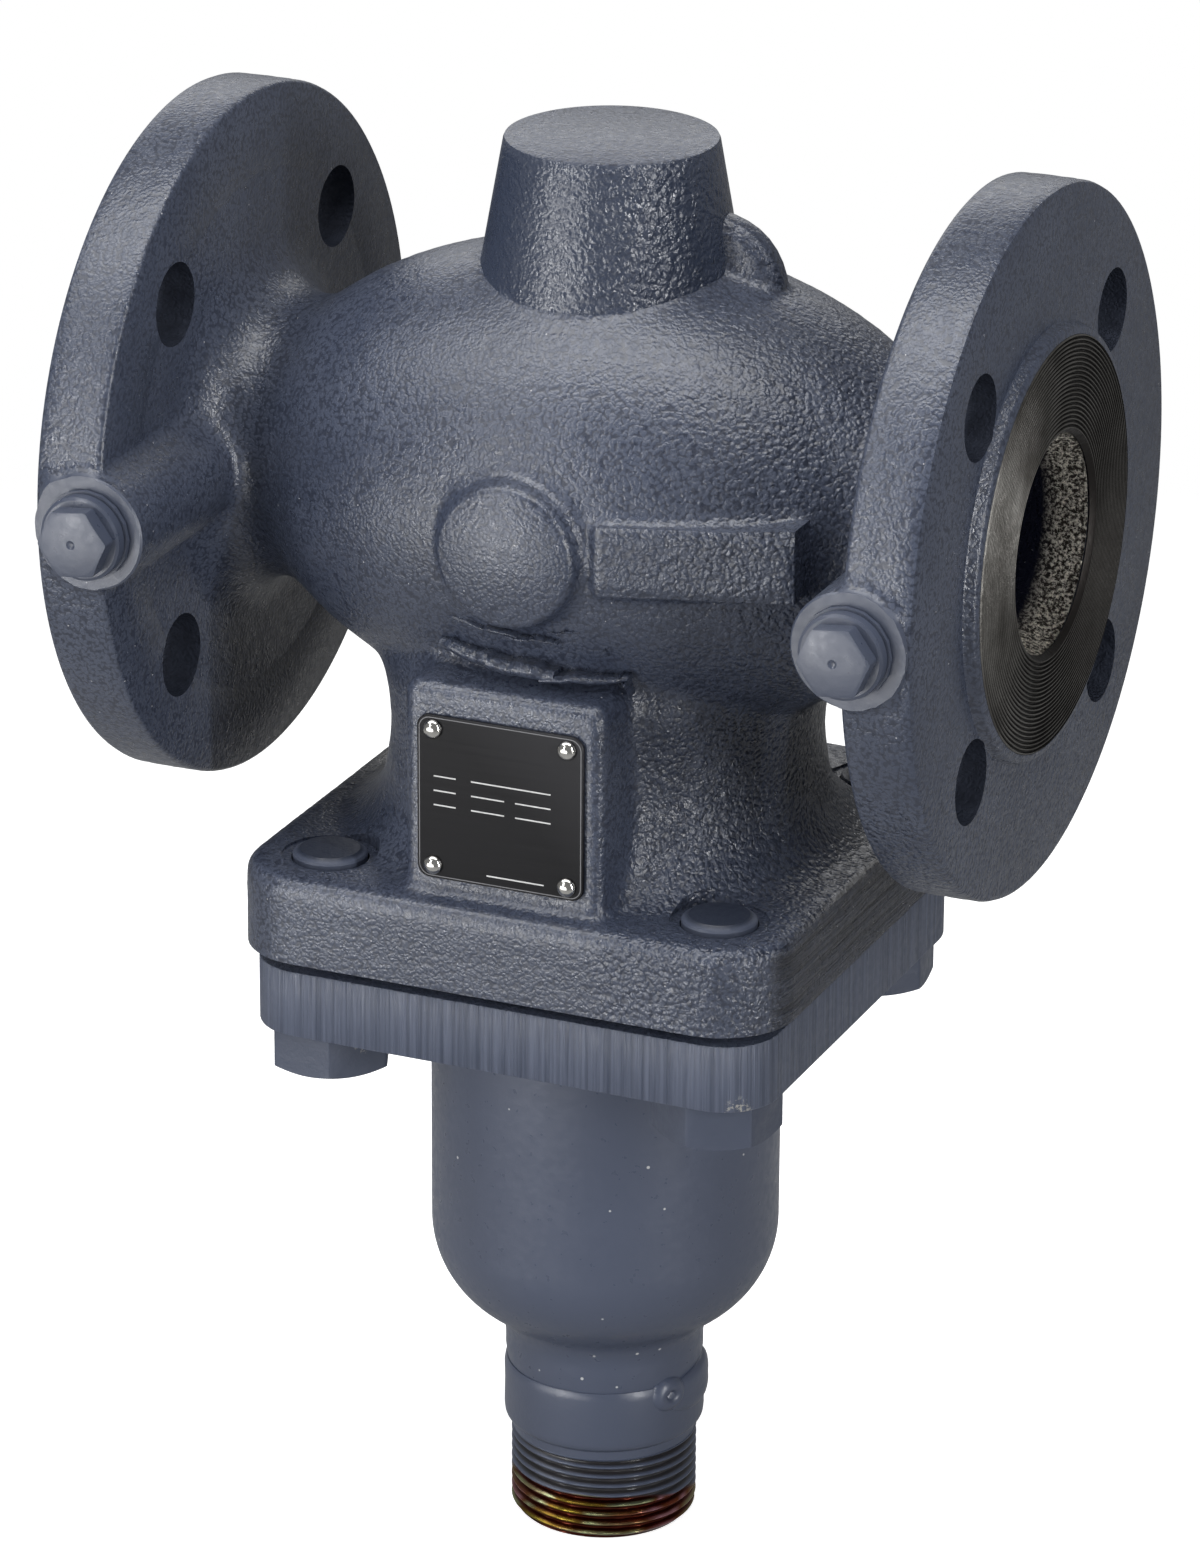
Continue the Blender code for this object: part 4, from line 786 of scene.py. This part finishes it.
# Plate and gasket.
# The plate is sawn and milled from square bar, then painted with the casting, and its sides
# keep the upright marks of the cutter. The gasket is pressed graphite.
PLATE_TOP_Z = -0.098
PLATE_BOTTOM_Z = -0.113
PLATE_HALF = 0.0592
plate = block("square_plate", (-PLATE_HALF, -PLATE_HALF, PLATE_BOTTOM_Z),
              (PLATE_HALF, PLATE_HALF, PLATE_TOP_Z))
ease_edges(plate, 0.0125, 12, lambda middle, way: abs(way.z) > 0.9)
ease_edges(plate, 0.0005, 2, lambda middle, way: abs(way.z) < 0.1)
combine(plate, bar("spigot", 0.0377, -0.104, -0.092, (0, 0, 0), "Z", 96))
cut_away(plate, turn_wall("plate_bore", [(0.0384, -0.115), (0.0384, -0.107), (0.0352, -0.107),
                                         (0.0352, -0.090)]),
         *[bar("plate_hole", 0.0088, -0.115, -0.096, (x, y, 0), "Z", 40)
           for x in (-BOLT_AT, BOLT_AT) for y in (-BOLT_AT, BOLT_AT)])
shade(plate, 30)


def chip(finish, colour, spot, size):
    """Knock the paint off in flakes round a spot, down to bare metal."""
    off = finish.node("VectorMath", operation="DISTANCE", in_1=spot)
    finish.wire(finish.place, off.inputs[0])
    bare = finish.times(finish.window(off.outputs["Value"], size, size * 0.6),
                        finish.window(finish.grain(900.0, 4.0, 0.7), 0.53, 0.56))
    finish.give(Base_Color=finish.tint(bare, colour, (0.62, 0.60, 0.55)), Metallic=bare)


plate_paint = slate_paint("plate_paint", 0.10, 0.05, 0.40)
saw = plate_paint.grain(900.0, 4.0, 0.7, (1.0, 1.0, 0.010))
plate_paint.relief(plate_paint.grain(90.0, 1.0, 0.5, (1.0, 1.0, 0.01)), 0.4, 0.0012)
plate_paint.relief(saw, 0.9, 0.0008)
sawn = plate_paint.tint(plate_paint.window(saw, 0.38, 0.60), (0.040, 0.052, 0.086),
                        (0.090, 0.107, 0.158))
chip(plate_paint, sawn, (0.0560, -0.0590, PLATE_BOTTOM_Z), 0.0050)
wear(plate, plate_paint)
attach(plate, "casing")
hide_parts("bonnet_plate")

graphite = Finish("pressed_graphite")
graphite.mottle(600.0, (0.006, 0.006, 0.007), (0.020, 0.020, 0.021))
graphite.give(Roughness=0.7)
coat(graphite, "body_gasket")


# Cover bolts.
# Forged hexagon bolts, put in from below and screwed right through the square flange, so
# that their pointed ends stand just above it. They are painted in place.
HEAD_TOP_Z = -0.1133
TIP_Z = -0.0746


def hexagon_head(name, flats, low, high, chamfer):
    """A hexagon bar whose low end is turned to a shallow cone, as on a forged head."""
    corner_r = flats / math.sqrt(3)
    bpy.ops.object.select_all(action="DESELECT")
    bpy.ops.mesh.primitive_cylinder_add(vertices=6, radius=corner_r, depth=high - low,
                                        location=(0, 0, (low + high) / 2))
    head = bpy.context.object
    head.name = name
    settle(head)
    ease_edges(head, 0.0005, 2, lambda middle, way: abs(way.z) > 0.9)
    rise = (corner_r - flats * 0.46) * chamfer
    combine(head, turn_wall("head_cone", [
        (flats * 0.46, low), (corner_r + 0.001, low + rise + 0.001 * chamfer),
        (corner_r + 0.001, high + 0.001)]), "INTERSECT")
    return head


bolt_paint = slate_paint("bolt_paint", 0.16, 0.10, 0.40)
bolt_paint.give(Specular_IOR_Level=0.4)
tip = bolt_paint.window(bolt_paint.z, TIP_Z - 0.0006, TIP_Z - 0.0002)
chip(bolt_paint, bolt_paint.tint(tip, PAINT_PALE, (0.024, 0.030, 0.048)),
     (-0.0330, -0.0505, -0.1142), 0.0040)
for number, (x, y, turn) in enumerate(((-BOLT_AT, -BOLT_AT, 23), (BOLT_AT, -BOLT_AT, 54),
                                       (BOLT_AT, BOLT_AT, 8), (-BOLT_AT, BOLT_AT, 41)), 1):
    bolt = hexagon_head(f"hex_bolt_{number}", 0.024, HEAD_TOP_Z - 0.010, HEAD_TOP_Z, 0.45)
    combine(bolt, turn_wall("shank", [
        (0.0080, HEAD_TOP_Z - 0.004), (0.0080, TIP_Z - 0.0012), (0.0077, TIP_Z - 0.0008),
        (0.0068, TIP_Z - 0.0003), (0.0064, TIP_Z), (0.0030, TIP_Z + 0.0001)], steps=48))
    bolt.rotation_euler.z = math.radians(turn)
    bolt.location = (x, y, 0)
    settle(bolt)
    shade(bolt, 18)
    wear(bolt, bolt_paint)
    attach(bolt, "casing")
    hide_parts(f"cover_bolt_{number}")


# Bellows cup.
# One cup deep-drawn from sheet steel, welded into the plate at its rim and drawn down to a
# narrow neck. It is smooth under the same paint.
CUP_R = 0.03805
CUP_WALL = 0.0029
RIM_Z = -0.1073
SEAM_Z = -0.2038
STEEL_DARK = (0.066, 0.081, 0.126)
STEEL_PALE = (0.077, 0.092, 0.138)


def cup_line(inset):
    """(radius, z) of the cup from rim to neck, set in by a wall."""
    return ([(CUP_R - inset, RIM_Z)] + bend((0.01405, -0.1693), 0.0240 - inset, 0, -58.5, 18)
            + bend((0.0318, -0.1983), 0.0100 + inset, 121.5, 180, 12)
            + [(0.0218 - inset, -0.2010), (0.0214 - inset, SEAM_Z)])


def smooth_steel(finish):
    """The colour of paint on smooth steel, in soft clouds."""
    return finish.tint(finish.window(finish.grain(18.0), 0.3, 0.7), STEEL_DARK, STEEL_PALE)


cup = turn_wall("drawn_cup", cup_line(0) + cup_line(CUP_WALL)[::-1] + [(CUP_R, RIM_Z)],
                steps=144)
shade(cup, 40)
cup_paint = slate_paint("cup_paint", 0.05, 0.06, 0.33)
cup_paint.give(Base_Color=cup_paint.tint(cup_paint.specks(130.0, 0.040),
                                         smooth_steel(cup_paint), (0.55, 0.55, 0.56)))
wear(cup, cup_paint)
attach(cup, "casing")
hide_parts("bellows_housing")


# Threaded neck.
# Turned steel, welded to the cup with one heavy stop of the bead. A pipe thread takes the
# actuator's nut: paint covers its upper turns and yellow zinc plating shows on the last ones.
COLLAR_R = 0.0220
THREAD_R = 0.0205
THREAD_DEPTH = 0.00125
PITCH = 0.00231
THREAD_TOP_Z = -0.2205
NECK_END_Z = -0.2403
ROWS = 190
wall = [(0.0183, -0.1815), (0.0183, SEAM_Z), (0.0216, SEAM_Z), (0.0219, SEAM_Z - 0.0006),
        (0.0221, SEAM_Z - 0.0020), (0.0220, SEAM_Z - 0.0060), (0.0221, -0.2155)]
wall += bend((0.0203, -0.2165), 0.0017, 0, -75, 6)
wall += [(0.0203, -0.2186), (0.0203, THREAD_TOP_Z)]
wall += [(THREAD_R, THREAD_TOP_Z - (THREAD_TOP_Z - NECK_END_Z) * i / ROWS)
         for i in range(1, ROWS + 1)]
wall += [(0.0133, NECK_END_Z), (0.0133, -0.2258), (0.0103, -0.2258), (0.0103, -0.1850),
         (0.0082, -0.1850), (0.0082, -0.1815), (0.0183, -0.1815)]
neck = turn_wall("neck", wall, steps=144)
for corner in neck.data.vertices:
    z = corner.co.z
    r = math.hypot(corner.co.x, corner.co.y)
    if z < THREAD_TOP_Z - 0.0001 and r > 0.019:
        turn = math.atan2(corner.co.y, corner.co.x) / math.tau
        phase = (z / PITCH + turn) % 1.0
        tooth = min(1.0, max(0.0, (abs(phase - 0.5) * 2 - 0.10) / 0.72))
        start = min(1.0, (THREAD_TOP_Z - z) / 0.0012)
        end = min(0.0, (z - NECK_END_Z) - 0.0016)
        wanted = min(THREAD_R - THREAD_DEPTH * tooth * start, THREAD_R + end)
        corner.co.x *= wanted / r
        corner.co.y *= wanted / r
shade(neck, 32)


def weld_lump(name, wall, stretch_y, stretch_z, azimuth, z, proud):
    """A lump of weld laid round the collar, from (radius, height) points of its own dome."""
    lump = turn_wall(name, wall, "X", 56)
    for corner in lump.data.vertices:
        swing = corner.co.y * stretch_y / COLLAR_R + math.radians(azimuth)
        depth = COLLAR_R + proud - 0.0026 + corner.co.x
        corner.co = (depth * math.cos(swing), depth * math.sin(swing), z + corner.co.z * stretch_z)
    finish_with(lump, "SUBSURF", levels=1, render_levels=1)
    shade(lump, 60)
    return lump


bead = weld_lump("weld_bead", [
    (HAIR, -0.0030), (0.0030, -0.0026), (0.0050, -0.0010), (0.0057, 0.0004), (0.0053, 0.0017),
    (0.0040, 0.0024), (0.0020, 0.0027), (HAIR, 0.0028)], 2.9, 0.92, 9, -0.2078, 0.0011)
stop = weld_lump("weld_stop", [
    (HAIR, -0.0030), (0.0024, -0.0026), (0.0040, -0.0010), (0.0044, 0.0006), (0.0038, 0.0021),
    (0.0027, 0.0029), (0.0017, 0.0031), (0.0010, 0.0024), (0.0005, 0.0016), (HAIR, 0.0015)],
                 1.2, 1.0, -26, -0.2062, 0.0008)

neck_paint = slate_paint("neck_paint", 0.05, 0.08, 0.33)
ragged = neck_paint.times(neck_paint.grain(30.0, 2.0), PITCH * 1.2)
level = neck_paint.sum_of("ADD", neck_paint.z, ragged)
level = neck_paint.sum_of("ADD", level, neck_paint.times(neck_paint.y, 0.20))
plated = neck_paint.window(level, -0.2316, -0.2322)
wall_r = neck_paint.away(neck_paint.x, neck_paint.y)
valley = neck_paint.times(neck_paint.window(wall_r, 0.0203, 0.0198),
                          neck_paint.window(neck_paint.z, THREAD_TOP_Z, THREAD_TOP_Z - 0.0004))
flow = neck_paint.node("Mapping", in_Scale=(34.0, 34.0, 70.0))
neck_paint.wire(neck_paint.place, flow.inputs["Vector"])
swirl = neck_paint.node("TexNoise", in_Scale=1.0, in_Detail=1.5, in_Distortion=0.6)
neck_paint.wire(flow.outputs["Vector"], swirl.inputs["Vector"])
rainbow = neck_paint.node("ValToRGB")
neck_paint.wire(neck_paint.window(swirl.outputs["Fac"], 0.2, 0.8), rainbow.inputs["Fac"])
stops = rainbow.color_ramp.elements
stops[0].position, stops[0].color = 0.28, (0.34, 0.06, 0.06, 1)
stops[1].position, stops[1].color = 0.74, (0.26, 0.20, 0.03, 1)
for spot, colour in ((0.38, (0.20, 0.06, 0.02, 1)), (0.46, (0.52, 0.26, 0.30, 1)),
                     (0.52, (0.22, 0.08, 0.03, 1)), (0.60, (0.42, 0.46, 0.26, 1)),
                     (0.66, (0.18, 0.10, 0.02, 1))):
    stops.new(spot).color = colour
crests = neck_paint.tint(plated, smooth_steel(neck_paint), rainbow.outputs["Color"])
shadow = neck_paint.tint(plated, (0.020, 0.019, 0.022), (0.085, 0.020, 0.012))
neck_paint.give(Base_Color=neck_paint.tint(valley, crests, shadow), Metallic=plated,
                Roughness=neck_paint.window(plated, 0, 1, 0.33, 0.24))
for piece in (neck, bead, stop):
    wear(piece, neck_paint)
    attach(piece, "casing")
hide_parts("threaded_neck")


# Stem seals.
# Two black rubber rings with a steel spacer between them, kept in by the bronze gland screw.
rubber = Finish("black_rubber")
rubber.mottle(300.0, (0.008, 0.008, 0.008), (0.016, 0.016, 0.016))
rubber.give(Roughness=0.55)
coat(rubber, "stem_seal_upper", "stem_seal_lower")


# Pressure tap plugs.
# Forged plugs with a round collar and a small hexagon, screwed into the facing bosses over
# a thin sealing ring. A punch mark sits in the middle of each.
plug_paint = slate_paint("plug_paint", 0.05, 0.05, 0.33)
coat(slate_paint("seal_ring_paint", 0.05, 0.05, 0.45), "tap_seal_inlet", "tap_seal_outlet")
for side, end in ((-1, "inlet"), (1, "outlet")):
    plug = hexagon_head("plug_" + end, 0.0138, -0.0840, -0.0788, 0.28)
    plug.rotation_euler.z = math.radians(24)
    settle(plug)
    settle(plug, "Y")
    combine(plug, turn_wall("collar", [
        (0.0084, -0.0800), (0.0090, -0.0797), (0.0091, -0.0792), (0.0091, -0.0776),
        (0.0063, -0.0776), (0.0063, -0.0670), (0.0053, -0.0660)], "Y", 96))
    cut_away(plug, turn_wall("punch_mark", [(0.0016, -0.0850), (0.0010, -0.0840),
                                            (HAIR, -0.0832)], "Y", 24))
    shift(plug, side * TAP_X, 0, 0)
    shade(plug, 18)
    wear(plug, plug_paint)
    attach(plug, "casing")
    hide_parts("tap_plug_" + end)


# Nameplate.
# Thin black anodised aluminium with a bright line along its edge, blank fields ruled on it,
# and a polished drive rivet at each corner.
SHEET_HALF_X = 0.0188
SHEET_HALF_Z = 0.0181
SHEET_CORNER = 0.0030
sheet = block("data_plate", (-SHEET_HALF_X, PAD_Y - 0.0011, NAMEPLATE_Z - SHEET_HALF_Z),
              (SHEET_HALF_X, PAD_Y - 0.0003, NAMEPLATE_Z + SHEET_HALF_Z))
ease_edges(sheet, 0.0027, 8, lambda middle, way: abs(way.y) > 0.9)
ease_edges(sheet, 0.00015, 1, lambda middle, way: abs(way.y) < 0.1 and middle.y < PAD_Y - 0.0010)
cut_away(sheet, *[bar("rivet_way", 0.0013, -0.060, -0.054, (x, 0, NAMEPLATE_Z + z), "Y", 24)
                  for x in (-RIVET_AT, RIVET_AT) for z in (-RIVET_AT, RIVET_AT)])
shade(sheet, 30)
anodised = Finish("black_anodised")


def past_corner(value, half):
    """How far a coordinate lies past the start of the sheet's corner arc."""
    past = anodised.sum_of("SUBTRACT", anodised.sum_of("ABSOLUTE", value), half - SHEET_CORNER)
    return anodised.sum_of("MAXIMUM", past, 0.0)


height = anodised.sum_of("SUBTRACT", anodised.z, NAMEPLATE_Z)
arc_r = anodised.away(past_corner(anodised.x, SHEET_HALF_X), past_corner(height, SHEET_HALF_Z))
line = anodised.times(anodised.window(arc_r, 0.00235, 0.00243),
                      anodised.window(arc_r, 0.00262, 0.00255))
brushed = anodised.grain(500.0, 3.0, 0.6, (0.06, 1.0, 2.0))
black = anodised.tint(brushed, (0.0020, 0.0020, 0.0030), (0.0050, 0.0050, 0.0065))
# The plate is painted lighter towards its upper right: a painted reflection.
wear_and_reflection = anodised.window(anodised.sum_of("ADD", anodised.x, anodised.z), -0.050, -0.022)
black = anodised.tint(wear_and_reflection, black, (0.019, 0.019, 0.022))
anodised.give(Base_Color=anodised.tint(line, black, (0.20, 0.20, 0.21)), Roughness=0.30,
              Specular_IOR_Level=0.15)
anodised.relief(brushed, 0.15, 0.0001)
wear(sheet, anodised)
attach(sheet, "casing")
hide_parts("nameplate")

bare_rules = Finish("bare_rules")
bare_rules.mottle(800.0, (0.50, 0.50, 0.50), (0.72, 0.72, 0.72))
bare_rules.give(Roughness=0.4)
rules = put_together(*[
    block("field_rule", (x, PAD_Y - 0.00116, NAMEPLATE_Z + z),
          (x + long, PAD_Y - 0.00105, NAMEPLATE_Z + z + 0.00028))
    for x, z, long in ((-0.0150, 0.0046, 0.0050), (-0.0150, 0.0014, 0.0050),
                       (-0.0150, -0.0018, 0.0050), (-0.0065, 0.0046, 0.0180),
                       (-0.0065, 0.0014, 0.0075), (0.0035, 0.0014, 0.0080),
                       (-0.0065, -0.0018, 0.0075), (0.0035, -0.0018, 0.0080),
                       (-0.0030, -0.0158, 0.0130))])
rules.name = "field_rules"
wear(rules, bare_rules)
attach(rules, "casing")

rivet_steel = Finish("polished_steel")
rivet_steel.mottle(700.0, (0.52, 0.51, 0.48), (0.74, 0.73, 0.70))
rivet_steel.give(Metallic=1.0, Roughness=0.16)
rivet_steel.relief(rivet_steel.grain(500.0, 2.0), 0.12, 0.0003)
RIVET_SEAT_Y = PAD_Y - 0.0013
for number, (x, z) in enumerate(((-RIVET_AT, -RIVET_AT), (RIVET_AT, -RIVET_AT),
                                 (RIVET_AT, RIVET_AT), (-RIVET_AT, RIVET_AT)), 1):
    dome = [(0.0021 * math.cos(math.radians(a)), RIVET_SEAT_Y - 0.0014 * math.sin(math.radians(a)))
            for a in (62, 45, 30, 15, 0)]
    rivet = turn_wall(f"drive_rivet_{number}", [
        (HAIR, RIVET_SEAT_Y - 0.0014), (0.0006, RIVET_SEAT_Y - 0.00138), *dome,
        (0.0010, RIVET_SEAT_Y), (0.0010, RIVET_SEAT_Y + 0.0050)], "Y", 40)
    shift(rivet, x, 0, NAMEPLATE_Z + z)
    shade(rivet, 50)
    wear(rivet, rivet_steel)
    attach(rivet, "casing")
    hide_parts(f"nameplate_rivet_{number}")
